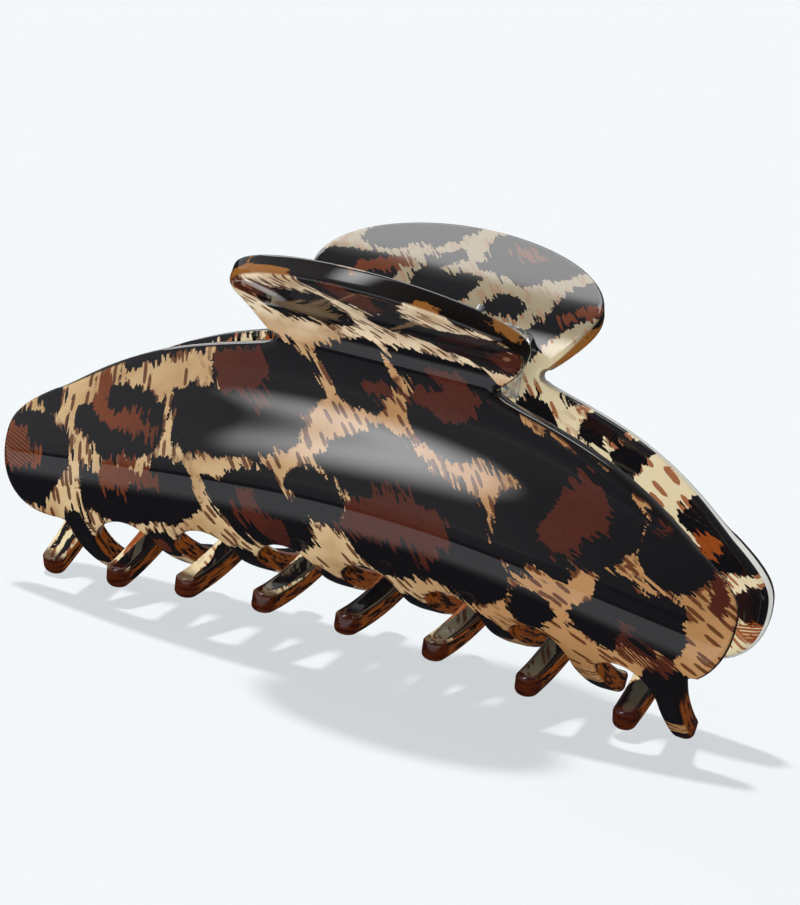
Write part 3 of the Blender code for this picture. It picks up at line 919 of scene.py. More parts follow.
INNER_SPOTS: tuple[Spot, ...] = (
    # Tab
    Spot(
        dark=(
            (21, 8), (20.5, 11), (18, 12), (16, 12.5), (11.5, 12.5), (10, 13), (9, 10), (8.5, 8), (12, 6),
            (16, 4.5),
        ),
        rust=((15, 9.5), (13, 10.5), (11, 12), (9.5, 13), (8.5, 13), (9, 10.5), (12, 9.5), (14, 8)),
    ),
    Spot(
        dark=(
            (6, 6.5), (6, 10), (6, 13), (4, 12.5), (2, 11.5), (0, 12.5), (-2.5, 13), (-2.5, 11), (-2, 8),
            (-0.5, 6), (3, 5.5),
        ),
    ),
    Spot(
        dark=(
            (-0.5, 19.5), (-2, 24), (-6.5, 26.5), (-11.5, 24), (-15, 19.5), (-14, 18), (-12.5, 16),
            (-10.5, 15.5), (-8.5, 13), (-5.5, 14), (-3, 14.5), (-1, 14.5), (-1.5, 17),
        ),
        rust=((-4, 19.5), (-7, 21), (-10, 19.5), (-7, 19)),
    ),
    Spot(
        dark=(
            (17.5, 15), (15, 19.5), (10.5, 24), (4, 27), (0.5, 26), (2.5, 22), (5, 18), (7.5, 17),
            (9.5, 17), (10.5, 14.5), (13.5, 14.5),
        ),
    ),
    Spot(dark=((6, 14), (4, 16), (2.5, 18), (1, 16.5), (2, 15), (3.5, 12.5))),
    Spot(dark=((-5, 7), (-5.5, 9), (-8, 10.5), (-10, 10), (-10, 7.5), (-8.5, 6.5), (-6.5, 6.5))),
    Spot(
        dark=(
            (-11.5, 5), (-13.5, 6), (-14.5, 8.5), (-14.5, 11.5), (-15.5, 15), (-18, 19), (-22, 13),
            (-20, 9.5), (-17.5, 7), (-16, 5), (-14.5, 3), (-13.5, 2), (-12.5, 3.5),
        ),
        rust=((-16.5, 8.5), (-18, 11), (-21, 13.5), (-21.5, 12), (-18.5, 9.5), (-17, 8)),
    ),
    # Shoulder that shows past the front jaw
    Spot(dark=((-19, 0.9), (-20.5, 0.4), (-23, -0.6), (-22.5, -1.6), (-20.5, -1.2), (-19, -0.4))),
    Spot(
        dark=(
            (-23, -4), (-23.5, -3), (-25, -1.5), (-27, -1.8), (-29.5, -2.6), (-28.5, -4), (-27.5, -4.5),
            (-25.5, -4.5), (-24, -5), (-23, -4.5),
        ),
    ),
    Spot(
        dark=(
            (-27.5, -5.5), (-28.5, -4.5), (-30.5, -3.5), (-34, -3.6), (-33, -4.5), (-32, -6), (-30.5, -7),
            (-30, -6.5), (-28, -6),
        ),
    ),
    Spot(
        dark=(
            (-39, -8), (-41, -6.5), (-42.5, -5.5), (-46, -5.5), (-49, -7), (-51, -9), (-50, -10.5),
            (-46.5, -13), (-44.5, -14), (-43, -12.5), (-42, -10), (-40, -9),
        ),
        rust=((-42, -9.5), (-43.5, -8.5), (-45.5, -8), (-45.5, -10.5), (-43.5, -12), (-42.5, -10.5)),
    ),
    Spot(
        dark=((-48, -16), (-51, -13), (-53.5, -12), (-54, -16), (-52, -18), (-48.5, -18.5)),
        rust=((-49.5, -19), (-53.5, -17), (-53, -20), (-49.5, -20.5)),
    ),
    # Left half of the blade
    Spot(
        dark=((-44, -17), (-40, -12), (-36, -11), (-33, -13), (-34, -17), (-38, -20), (-42, -21)),
        rust=((-40, -15), (-37, -13), (-36, -16), (-39, -17.5)),
    ),
    Spot(
        dark=((-32, -9), (-28, -8), (-23, -8.5), (-20, -11), (-21, -15), (-26, -17), (-31, -14)),
        rust=((-28, -11), (-24, -10.5), (-23, -13), (-27, -14)),
    ),
    Spot(dark=((-19, -3), (-14, -2), (-13, -6), (-16, -8), (-19, -7))),
    Spot(dark=((-46, -22), (-42, -23), (-38, -23), (-37, -26.5), (-42, -27), (-46, -25.5))),
    Spot(
        dark=((-34, -20), (-29, -18), (-24, -19), (-22, -23), (-26, -26.5), (-32, -25)),
        rust=((-31, -21), (-27, -20), (-26, -23), (-30, -23.5)),
    ),
    Spot(
        dark=((-19, -13), (-14, -10), (-10, -12), (-9, -17), (-13, -20), (-18, -19)),
        rust=((-16, -14), (-12, -13), (-12, -17), (-15, -17)),
    ),
    # Teeth, from right to left
    Spot(dark=((44.5, -31), (45.2, -31), (45.4, -44), (44.7, -44))),
    Spot(dark=((46.5, -33), (47.1, -33), (47, -42), (46.3, -42))),
    Spot(
        dark=((31.8, -28), (33.8, -28), (34.4, -40), (34.2, -50), (32.4, -50), (31.8, -40)),
        rust=((34, -30), (35.4, -30), (35.4, -42), (34.4, -42)),
    ),
    Spot(dark=((19.4, -28), (22, -28), (22.6, -40), (21, -44), (20.6, -52), (19.2, -52))),
    Spot(dark=((7.3, -30), (9, -30), (11, -44), (10.8, -54), (8.4, -54), (7.4, -42))),
    Spot(
        dark=((-5.2, -33), (-1, -33), (-1, -55), (-5.2, -55)),
        rust=((-2, -34), (-1, -34), (-1, -46), (-1.6, -46)),
    ),
    Spot(
        dark=((-17.5, -30), (-14.6, -30), (-13.6, -46), (-15, -54), (-17.4, -50)),
        rust=((-14.4, -36), (-13.2, -36), (-13.2, -48), (-14, -48)),
    ),
    Spot(dark=((-29.6, -28), (-25.4, -28), (-25.4, -52), (-29.6, -52))),
    Spot(dark=((-42, -36), (-37.7, -38), (-37.7, -48), (-42, -48))),
)

# Middles and radii of the rust that is hatched
HATCHED: tuple[Triple, ...] = (
    (-50.0, -17.0, 4.0),
    (48.5, -18.5, 4.5),
    (41.5, -23.5, 4.0),
    (-9.5, -25.0, 3.0),
    (36.0, -14.5, 2.5),
)


@dataclass(frozen=True)
class PrintLayout:
    """Where the print's spots lie on one face of the sheet, and how far from them it is measured."""

    spots: tuple[Spot, ...]
    reach: float = 5.0
    tiny: float = 1e-9

    def darks(self) -> list[np.ndarray]:
        """Rounded outlines of the dark spots."""
        return [rounded(spot.dark) for spot in self.spots if spot.dark]

    def rusts(self) -> list[np.ndarray]:
        """Rounded outlines of the rust patches."""
        return [rounded(spot.rust) for spot in self.spots if spot.rust]

    def measured(self, points: np.ndarray, outlines: list[np.ndarray]) -> np.ndarray:
        """Measures points against outlines.

        Args:
            points: Rows of x and s in millimetres.
            outlines: Closed outlines.

        Returns:
            Rows of signed distance, negative inside, and of the nearest point on an outline.
        """
        found = np.column_stack([np.full(len(points), self.reach), points])
        for outline in outlines:
            low, high = outline.min(0) - self.reach, outline.max(0) + self.reach
            near = np.flatnonzero(((points > low) & (points < high)).all(1))
            if not len(near):
                continue
            place = points[near]
            foot = self._foot(place, outline)
            gap = np.linalg.norm(place - foot, axis=1)
            signed = np.where(self._inside(place, outline), -1.0, 1.0) * gap
            closer = signed < found[near, 0]
            found[near[closer], 0] = signed[closer]
            found[near[closer], 1:] = foot[closer]
        return found

    def _foot(self, place: np.ndarray, outline: np.ndarray) -> np.ndarray:
        """Finds the nearest point on an outline for each place.

        Args:
            place: Rows of x and s.
            outline: A closed outline.

        Returns:
            Rows of x and s on the outline.
        """
        run = np.roll(outline, -1, axis=0) - outline
        share = ((place[:, None, :] - outline) * run).sum(2) / np.maximum((run * run).sum(1), self.tiny)
        feet = outline + run * np.clip(share, 0, 1)[:, :, None]
        best = np.linalg.norm(place[:, None, :] - feet, axis=2).argmin(1)
        return feet[np.arange(len(place)), best]

    def _inside(self, place: np.ndarray, outline: np.ndarray) -> np.ndarray:
        """Tells which places lie inside an outline, by counting the sides to the right of each.

        Args:
            place: Rows of x and s.
            outline: A closed outline.

        Returns:
            One truth value for each place.
        """
        ends = np.roll(outline, -1, axis=0)
        run = ends - outline
        level = place[:, None, 1]
        crossed = (outline[:, 1] > level) != (ends[:, 1] > level)
        rise = np.where(run[:, 1] == 0, self.tiny, run[:, 1])
        at = outline[:, 0] + (level - outline[:, 1]) / rise * run[:, 0]
        return (crossed & (place[:, None, 0] < at)).sum(1) % 2 == 1


def rounded(outline: Outline, passes: int = 2, cut: float = 0.25) -> np.ndarray:
    """Cuts the corners of a closed outline.

    Args:
        outline: Its corner points.
        passes: How often the corners are cut.
        cut: Share of each side that a cut takes off.

    Returns:
        Points of the rounder outline.
    """
    points = np.array(outline, float)
    for _ in range(passes):
        ahead = np.roll(points, -1, axis=0)
        pair = [points * (1 - cut) + ahead * cut, points * cut + ahead * (1 - cut)]
        points = np.stack(pair, 1).reshape(-1, 2)
    return points


def mirrored(outline: Outline) -> Outline:
    """An outline with left and right changed over."""
    return tuple((-x, s) for x, s in outline)


def inner_layout(left_end: float = -6.0, top: float = 4.0, bottom: float = -28.0) -> PrintLayout:
    """Lays out the inner face: its own spots, and mirrored outer ones on the right half of the blade.

    Args:
        left_end: Where the left half ends, in millimetres.
        top: Height below which the mirrored spots stay.
        bottom: Height above which they stay.

    Returns:
        The layout.
    """
    taken = []
    for spot in OUTER_SPOTS:
        shape = mirrored(spot.dark or spot.rust)
        middle = sum(x for x, _ in shape) / len(shape)
        heights = [s for _, s in shape]
        if middle > left_end and max(heights) < top and min(heights) > bottom:
            taken.append(Spot(mirrored(spot.dark), mirrored(spot.rust)))
    return PrintLayout(INNER_SPOTS + tuple(taken))


# Modelling


def deselect() -> None:
    """Leaves nothing selected."""
    bpy.ops.object.select_all(action="DESELECT")


def active(obj: bpy.types.Object) -> None:
    """Selects one object alone and makes it active."""
    deselect()
    obj.select_set(True)
    bpy.context.view_layer.objects.active = obj


def linked(name: str, data: bpy.types.ID) -> bpy.types.Object:
    """Makes an object from a mesh, curve, lamp or camera and puts it in the scene.

    Args:
        name: The object's name.
        data: What it shows.

    Returns:
        The object.
    """
    obj = bpy.data.objects.new(name, data)
    bpy.context.collection.objects.link(obj)
    return obj


def spread(first: float, last: float, count: int) -> list[float]:
    """Evenly spaced values from first to last, both included."""
    return [first + (last - first) * k / (count - 1) for k in range(count)]


@dataclass
class JawBlank:
    """Flat outline of a jaw, in metres: x along the clip and s up from the neck's foot."""

    plate: float = 3.0 * MM
    outer_round: float = 1.0 * MM
    inner_round: float = 0.6 * MM
    step: float = 0.5 * MM
    half_blade: float = 53.0 * MM
    half_neck: float = 16.8 * MM
    neck_side: float = 1.6 * MM
    end_drop: float = 14.8 * MM
    end_reach: float = 11.5 * MM
    along_power: float = 0.72
    down_power: float = 2.74
    spacing_power: float = 1.5
    root_drop: float = 27.0 * MM
    tab_overhang: float = 4.0 * MM
    tab_drop: float = 14.4 * MM
    tab_rise: float = 13.5 * MM
    tooth_count: int = 8
    end_margin: float = 7.1 * MM
    tooth_width: float = 4.0 * MM
    tip_width: float = 3.3 * MM
    tooth_length: float = 27.9 * MM
    end_shorter: float = 11.0 * MM
    tip_round: float = 1.6 * MM
    gap_rise: float = 4.2 * MM
    shoulder: float = 1.5 * MM
    tab_points: int = 400
    side_points: int = 200
    arch_points: int = 60
    tip_points: int = 40
    corner_points: int = 20

    @property
    def pitch(self) -> float:
        """Distance between teeth. The other jaw's teeth stand half a pitch away."""
        return (2 * self.half_blade - 2 * self.end_margin) / (self.tooth_count - 0.5)

    @property
    def last_tooth(self) -> float:
        """Place of the right end tooth."""
        return self.half_blade - self.end_margin

    @property
    def tip_drop(self) -> float:
        """Drop of a middle tooth's tip below the neck's foot, along the sheet."""
        return self.root_drop + self.tooth_length

    @property
    def teeth(self) -> list[float]:
        """Middles of the teeth, from right to left."""
        return [self.last_tooth - k * self.pitch for k in range(self.tooth_count)]

    def _tab(self) -> list[Point]:
        """Edge of the oval tab, from its right foot to its left foot."""
        length = self.half_neck + self.tab_overhang
        foot = math.acos(self.half_neck / length)
        centre = self.neck_side + self.tab_drop * math.sin(foot)
        points = []
        for angle in spread(-foot, math.pi + foot, self.tab_points):
            height = self.tab_rise if angle % math.tau < math.pi else self.tab_drop
            points.append((length * math.cos(angle), centre + height * math.sin(angle)))
        return points

    def _notch(self, side: int) -> list[Point]:
        """Half-round notch between blade and tab.

        Args:
            side: 1 for the right side, -1 for the left one.

        Returns:
            Points from the blade up, without the ends.
        """
        radius = self.neck_side / 2
        points = []
        for angle in spread(0.0, math.pi, self.corner_points)[1:-1]:
            x = self.half_neck - radius * math.sin(angle)
            points.append((side * x, radius - radius * math.cos(angle)))
        return points

    def _upper(self, side: int) -> list[Point]:
        """Shoulder of the blade.

        Args:
            side: 1 for the right side, -1 for the left one.

        Returns:
            Points from the blade's end up to the neck.
        """
        points = []
        for turn in spread(math.pi / 2, 0.0, self.side_points):
            along = math.sin(turn) ** self.spacing_power
            down = 1 - max(1 - along**self.along_power, 0.0) ** (1 / self.down_power)
            x = self.half_neck + (self.half_blade - self.half_neck) * along
            points.append((side * x, -self.end_drop * down))
        return points

    def _lower(self, side: int, tooth: float) -> list[Point]:
        """Round end of the blade, with a small shoulder beside the end tooth.

        Args:
            side: 1 for the right side, -1 for the left one.
            tooth: Middle of the end tooth.

        Returns:
            Points from the tooth's outer side up to the blade's end.
        """
        start = side * tooth + self.tooth_width / 2 + self.shoulder
        centre = self.half_blade - self.end_reach
        reach = min(max((start - centre) / self.end_reach, 0.0), 1.0)
        depth = self.root_drop - self.end_drop
        low = -self.end_drop - depth * math.sqrt(1 - reach**2)
        points = []
        for angle in spread(0.0, math.pi / 2, self.corner_points):
            x = start - self.shoulder * math.cos(angle)
            points.append((side * x, low - self.shoulder * (1 - math.sin(angle))))
        for angle in spread(math.asin(reach), math.pi / 2, self.arch_points)[1:-1]:
            x = centre + self.end_reach * math.sin(angle)
            points.append((side * x, -self.end_drop - depth * math.cos(angle)))
        return points

    def _tip(self, x: float) -> list[Point]:
        """Round tip of a tooth.

        Args:
            x: Middle of the tooth.

        Returns:
            Points from its right side to its left side.
        """
        level = -self.tip_drop + self.end_shorter * (x / self.last_tooth) ** 2 + self.tip_round
        points = []
        for angle in spread(0.0, -math.pi, self.tip_points):
            across = self.tip_width / 2 * math.cos(angle)
            points.append((x + across, level + self.tip_round * math.sin(angle)))
        return points

    def _gap(self, x: float) -> list[Point]:
        """Arch between two teeth.

        Args:
            x: Middle of the gap.

        Returns:
            Points from right to left.
        """
        half = (self.pitch - self.tooth_width) / 2
        points = []
        for angle in spread(0.0, math.pi, self.arch_points):
            rise = self.gap_rise * (math.sin(angle) - 1)
            points.append((x + half * math.cos(angle), -self.root_drop + rise))
        return points

    def outline(self) -> list[Point]:
        """The whole outline, anticlockwise from the right end tooth."""
        teeth = self.teeth
        right = self._lower(1, teeth[0]) + self._upper(1) + self._notch(1)
        left = self._lower(-1, teeth[-1]) + self._upper(-1) + self._notch(-1)
        row = []
        for tooth in teeth[:-1]:
            row += self._tip(tooth) + self._gap(tooth - self.pitch / 2)
        row += self._tip(teeth[-1])
        return self._evened(right + self._tab() + left[::-1] + row[::-1])

    def _evened(self, points: list[Point]) -> list[Point]:
        """Spaces points evenly along a closed outline.

        Args:
            points: The outline's points.

        Returns:
            Points that are about one step apart.
        """
        ring = np.array(points + points[:1])
        run = np.concatenate([[0.0], np.cumsum(np.linalg.norm(np.diff(ring, axis=0), axis=1))])
        at = np.linspace(0.0, run[-1], round(run[-1] / self.step), endpoint=False)
        return list(zip(np.interp(at, run, ring[:, 0]).tolist(), np.interp(at, run, ring[:, 1]).tolist()))


@dataclass
class SheetForm:
    """How the flat sheet is bent into a jaw."""

    blank: JawBlank
    neck_offset: float = 8.0 * MM
    neck_straight: float = 3.2 * MM
    flare_radius: float = 11.4 * MM
    flare_turn: float = math.radians(37.5)
    blade_radius: float = 12.2 * MM
    blade_turn: float = math.radians(106.5)
    end_turn_less: float = math.radians(14.5)
    tooth_radius: float = 60.0 * MM
    tab_radius: float = 8.0 * MM
    tab_flare: float = math.radians(62.0)
    draw_in: float = 0.44
    arch_radius: float = 172.0 * MM
    dome_start: float = 8.0 * MM
    hinge_rise: float = 4.0 * MM
    ease: float = 0.7 * MM
    ease_steps: tuple[float, ...] = (-2.0, -1.0, 0.0, 1.0, 2.0)
    sample: float = 0.01 * MM

    def _walk(
        self, length: np.ndarray, stretches: list[tuple[float | np.ndarray, float]], upwards: int
    ) -> tuple[np.ndarray, np.ndarray]:
        """Follows stretches of length and curvature away from the neck.

        Args:
            length: How far to follow them.
            stretches: Pairs of length and curvature.
            upwards: 1 towards the tab, -1 towards the teeth.

        Returns:
            Arrays of y and z.
        """
        y = np.full_like(length, -self.neck_offset)
        z = np.zeros_like(length)
        heading = np.zeros_like(length)
        left = length.copy()
        for reach, curvature in stretches:
            step = np.minimum(left, reach)
            turn = heading + step * curvature
            if curvature:
                y += (np.cos(turn) - np.cos(heading)) / curvature
                z += upwards * (np.sin(turn) - np.sin(heading)) / curvature
            else:
                y -= step * np.sin(heading)
                z += upwards * step * np.cos(heading)
            heading = turn
            left = left - step
        return y, z

    def middle(self, x: np.ndarray, s: np.ndarray) -> np.ndarray:
        """Bends the middle of the sheet, with its changes of curvature eased.

        Args:
            x: Places along the blank.
            s: Places up the blank.

        Returns:
            Rows of x, y and z, from the neck's foot.
        """
        blank = self.blank
        teeth = np.array(blank.teeth)
        nearest = teeth[np.abs(x[:, None] - teeth).argmin(1)]
        place = x + (nearest - x) * self.eased((-blank.root_drop - s) / blank.gap_rise)
        across = np.maximum(np.abs(place) - blank.half_neck, 0.0) / (blank.half_blade - blank.half_neck)
        down = [
            (self.neck_straight, 0.0),
            (self.flare_radius * self.flare_turn, 1 / self.flare_radius),
            (self.blade_radius * (self.blade_turn - self.end_turn_less * across), -1 / self.blade_radius),
            (math.inf, -1 / self.tooth_radius),
        ]
        up = [(self.tab_radius * self.tab_flare, 1 / self.tab_radius), (math.inf, 0.0)]
        y, z = np.zeros_like(s), np.zeros_like(s)
        for shift in self.ease_steps:
            near = s + shift * self.ease
            y_up, z_up = self._walk(np.maximum(near, 0.0), up, 1)
            y_down, z_down = self._walk(np.maximum(-near, 0.0), down, -1)
            y += np.where(near >= 0, y_up, y_down) / len(self.ease_steps)
            z += np.where(near >= 0, z_up, z_down) / len(self.ease_steps)
        shaped = self.eased(-s / self.dome_start)
        y = y * (1 - self.draw_in * across**2 * shaped)
        z = z - place**2 / (2 * self.arch_radius) * shaped
        return np.column_stack([x, y, z])

    @staticmethod
    def eased(value: np.ndarray) -> np.ndarray:
        """Eases from 0 to 1."""
        value = np.clip(value, 0.0, 1.0)
        return value * value * (3 - 2 * value)

    def formed(self, x: np.ndarray, s: np.ndarray, out: np.ndarray) -> np.ndarray:
        """Bends points of the flat sheet to the front jaw's shape.

        Args:
            x: Places along the blank.
            s: Places up the blank.
            out: Heights out of the sheet's middle.

        Returns:
            Rows of x, y and z, from the hinge's axis.
        """
        d = self.sample
        along = self.middle(x + d, s) - self.middle(x - d, s)
        up = self.middle(x, s + d) - self.middle(x, s - d)
        normal = np.cross(along, up)
        normal /= np.linalg.norm(normal, axis=1)[:, None]
        return self.middle(x, s) + normal * out[:, None] - np.array([0.0, 0.0, self.hinge_rise])

    def point(self, s: float, out: float) -> np.ndarray:
        """One point in the middle of the front jaw, from the hinge's axis."""
        return self.formed(np.array([0.0]), np.array([s]), np.array([out]))[0]


@dataclass
class Jaws:
    """The two printed jaws: plates with tab, neck, blade and teeth, modelled once and copied."""

    form: SheetForm
    hinge_height: float
    grid: float = 1.25 * MM
    cut_slack: float = 0.15 * MM
    level_slack: float = 0.001 * MM
    rim_segments: int = 5
    hatch_fade: float = 1.5

    def build(self, finish: bpy.types.Material) -> list[bpy.types.Object]:
        """Models a jaw, lays the print on it and puts two copies in place of the nodes.

        Args:
            finish: The printed sheet's material.

        Returns:
            The front and the back jaw.
        """
        front = self._formed()
        front.data.materials.append(finish)
        back = linked("back_jaw_print", front.data.copy())
        back.data.transform(Matrix.Rotation(math.pi, 4, "Z"))
        for obj, body in ((front, "front"), (back, "back")):
            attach(obj, body)
            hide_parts(f"{body}_jaw")
            # The real sheet lets light through, so the jaws stay out of the way of the even light.
            obj.visible_diffuse = False
        return [front, back]

    def _formed(self) -> bpy.types.Object:
        """The front jaw, printed and bent to its shape."""
        obj = self._flat()
        flat = np.zeros(len(obj.data.vertices) * 3)
        obj.data.vertices.foreach_get("co", flat)
        flat = flat.reshape(-1, 3)
        self._print(obj.data, flat)
        points = self.form.formed(flat[:, 0], flat[:, 1], flat[:, 2])
        points[:, 2] += self.hinge_height
        obj.data.vertices.foreach_set("co", points.ravel())
        obj.data.update()
        active(obj)
        bpy.ops.object.mode_set(mode="EDIT")
        bpy.ops.mesh.select_all(action="SELECT")
        bpy.ops.mesh.normals_make_consistent(inside=False)
        bpy.ops.object.mode_set(mode="OBJECT")
        bpy.ops.object.shade_smooth()
        return obj

    def _flat(self) -> bpy.types.Object:
        """The blank with its rounded rim and a grid of cuts, still flat: x, s and height out of the sheet."""
        blank = self.form.blank
        outline = blank.outline()
        mesh = bpy.data.meshes.new("front_jaw_print")
        count = len(outline)
        rim = [(k, (k + 1) % count) for k in range(count)]
        mesh.from_pydata([(x, s, -blank.plate / 2) for x, s in outline], rim, [])
        obj = linked("front_jaw_print", mesh)
        active(obj)
        bpy.ops.object.mode_set(mode="EDIT")
        bpy.ops.mesh.select_all(action="SELECT")
        bpy.ops.mesh.edge_face_add()
        bpy.ops.mesh.extrude_region_move(TRANSFORM_OT_translate={"value": (0.0, 0.0, blank.plate)})
        bpy.ops.mesh.select_all(action="SELECT")
        bpy.ops.mesh.normals_make_consistent(inside=False)
        bpy.ops.mesh.select_all(action="DESELECT")
        bpy.ops.object.mode_set(mode="OBJECT")
        self._round_rim(mesh, Side.OUTER, blank.outer_round)
        self._round_rim(mesh, Side.INNER, blank.inner_round)
        self._cut(mesh)
        finer = obj.modifiers.new("finer", "SUBSURF")
        finer.subdivision_type = "SIMPLE"
        finer.levels = finer.render_levels = 1
        bpy.ops.object.modifier_apply(modifier="finer")
        return obj

    def _round_rim(self, mesh: bpy.types.Mesh, side: Side, radius: float) -> None:
        """Rounds the edge loop of the active blank on one face.

        Args:
            mesh: The blank's mesh.
            side: The face.
            radius: Radius of the round.
        """
        level = side.value * self.form.blank.plate / 2
        at_level = [abs(vert.co.z - level) < self.level_slack for vert in mesh.vertices]
        for edge in mesh.edges:
            first, second = edge.vertices
            edge.select = at_level[first] and at_level[second]
        bpy.ops.object.mode_set(mode="EDIT")
        bpy.ops.mesh.select_mode(type="EDGE")
        bpy.ops.mesh.bevel(
            offset=radius, segments=self.rim_segments, profile=0.5, affect="EDGES", clamp_overlap=False
        )
        bpy.ops.mesh.select_all(action="DESELECT")
        bpy.ops.object.mode_set(mode="OBJECT")

    def _cut(self, mesh: bpy.types.Mesh) -> None:
        """Cuts the blank along a grid, so that it bends smoothly.

        Args:
            mesh: The blank's mesh.
        """
        blank = self.form.blank
        planes = []
        for k in range(1, math.ceil(2 * blank.half_blade / self.grid)):
            planes.append(((-blank.half_blade + k * self.grid, 0.0, 0.0), (1.0, 0.0, 0.0)))
        low = -blank.tip_drop
        high = blank.neck_side + blank.tab_drop + blank.tab_rise
        for k in range(1, math.ceil((high - low) / self.grid)):
            planes.append(((0.0, low + k * self.grid, 0.0), (0.0, 1.0, 0.0)))
        shape = bmesh.new()
        shape.from_mesh(mesh)
        for place, normal in planes:
            parts = shape.verts[:] + shape.edges[:] + shape.faces[:]
            bmesh.ops.bisect_plane(shape, geom=parts, dist=self.cut_slack, plane_co=place, plane_no=normal)
        shape.to_mesh(mesh)
        shape.free()

    def _print(self, mesh: bpy.types.Mesh, flat: np.ndarray) -> None:
        """Leaves the print on the mesh as attributes, in millimetres.

        Args:
            mesh: The jaw's mesh.
            flat: Rows of x, s and height out of the sheet.
        """
        points = flat[:, :2] / MM
        face = flat[:, 2] / (self.form.blank.plate / 2)
        layouts = {Side.OUTER: PrintLayout(OUTER_SPOTS), Side.INNER: inner_layout()}
        shown = {Side.OUTER: face >= 0.0, Side.INNER: face < 0.0}
        for name, pick in (("black", PrintLayout.darks), ("rust", PrintLayout.rusts)):
            rows = np.zeros((len(points), 3))
            for side, layout in layouts.items():
                rows[shown[side]] = layout.measured(points[shown[side]], pick(layout))
            self._store(mesh, name, rows)
        self._store(mesh, "sheet", np.column_stack([points, face]))
        hatch = np.zeros(len(points))
        for x, s, radius in HATCHED:
            far = np.hypot(points[:, 0] - x, points[:, 1] - s)
            hatch = np.maximum(hatch, SheetForm.eased((radius - far) / self.hatch_fade))
        made = mesh.attributes.new("hatch", "FLOAT", "POINT")
        made.data.foreach_set("value", hatch.astype(np.float32))

    @staticmethod
    def _store(mesh: bpy.types.Mesh, name: str, rows: np.ndarray) -> None:
        """Stores rows of three numbers as an attribute of the vertices."""
        made = mesh.attributes.new(name, "FLOAT_VECTOR", "POINT")
        made.data.foreach_set("vector", rows.astype(np.float32).ravel())


@dataclass
class Spring:
    """Torsion spring on the pin: a coil with a leg to each tab."""

    form: SheetForm
    hinge_height: float
    pin_radius: float = 1.2 * MM
    wire: float = 0.6 * MM
    wire_segments: int = 5
    smooth_angle: float = math.radians(40)
    clearance: float = 0.55 * MM
    half_coil: float = 5.5 * MM
    turns: int = 6
    points_per_turn: int = 40
    leg: float = 9.5 * MM
    leg_gap: float = 0.3 * MM
    leg_shares: tuple[float, ...] = (1.0, 0.75, 0.5, 0.25)
    halvings: int = 40

    @property
    def radius(self) -> float:
        """Radius of the coil to the middle of the wire."""
        return self.pin_radius + self.clearance + self.wire

    @property
    def run(self) -> float:
        """Length of a leg, straight on from the coil."""
        return math.sqrt(self.leg**2 - self.radius**2)

    def build(self, finish: bpy.types.Material) -> bpy.types.Object:
        """Winds the spring as one tube, with a leg to each tab.

        Args:
            finish: The wire's material.

        Returns:
            The spring.
        """
        points = self._path()
        curve = bpy.data.curves.new("spring_wire_coil", "CURVE")
        curve.dimensions = "3D"
        curve.bevel_depth = self.wire
        curve.bevel_resolution = self.wire_segments
        curve.use_fill_caps = True
        line = curve.splines.new("POLY")
        line.points.add(len(points) - 1)
        for knot, (x, y, z) in zip(line.points, points):
            knot.co = (x, y, z + self.hinge_height, 1.0)
        active(linked("spring_wire_coil", curve))
        bpy.ops.object.convert(target="MESH")
        obj = bpy.context.view_layer.objects.active
        bpy.ops.object.shade_smooth_by_angle(angle=self.smooth_angle)
        obj.data.materials.clear()
        obj.data.materials.append(finish)
        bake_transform(obj)
        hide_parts("torsion_spring")
        return obj

    def _lean(self) -> float:
        """Direction of the left leg about the pin, so that its end rests on the front tab."""
        seat = self.form.blank.plate / 2 + self.leg_gap + self.wire
        low, high = 0.0, self.form.blank.tab_rise + self.form.blank.tab_drop
        place = np.zeros(3)
        for _ in range(self.halvings):
            s = (low + high) / 2
            place = self.form.point(s, -seat)
            if math.hypot(place[1], place[2]) < self.leg:
                low = s
            else:
                high = s
        return math.atan2(place[2], place[1]) - math.atan(self.radius / self.run)

    def _path(self) -> list[Triple]:
        """Middle of the wire from the end of the left leg to the end of the right one."""
        lean = self._lean()
        start = lean + math.pi / 2
        end = math.pi - start + math.tau * self.turns
        steps = math.ceil((end - start) / math.tau * self.points_per_turn)
        coil = []
        for share in spread(0.0, 1.0, steps + 1):
            angle = start + (end - start) * share
            across, up = self.radius * math.cos(angle), self.radius * math.sin(angle)
            coil.append((self.half_coil * (2 * share - 1), across, up))
        x, y, z = coil[0]
        across, up = math.cos(lean) * self.run, math.sin(lean) * self.run
        left = [(x, y + across * share, z + up * share) for share in self.leg_shares]
        right = [(-x, -y, z) for x, y, z in reversed(left)]
        return left + coil + right


# Stage


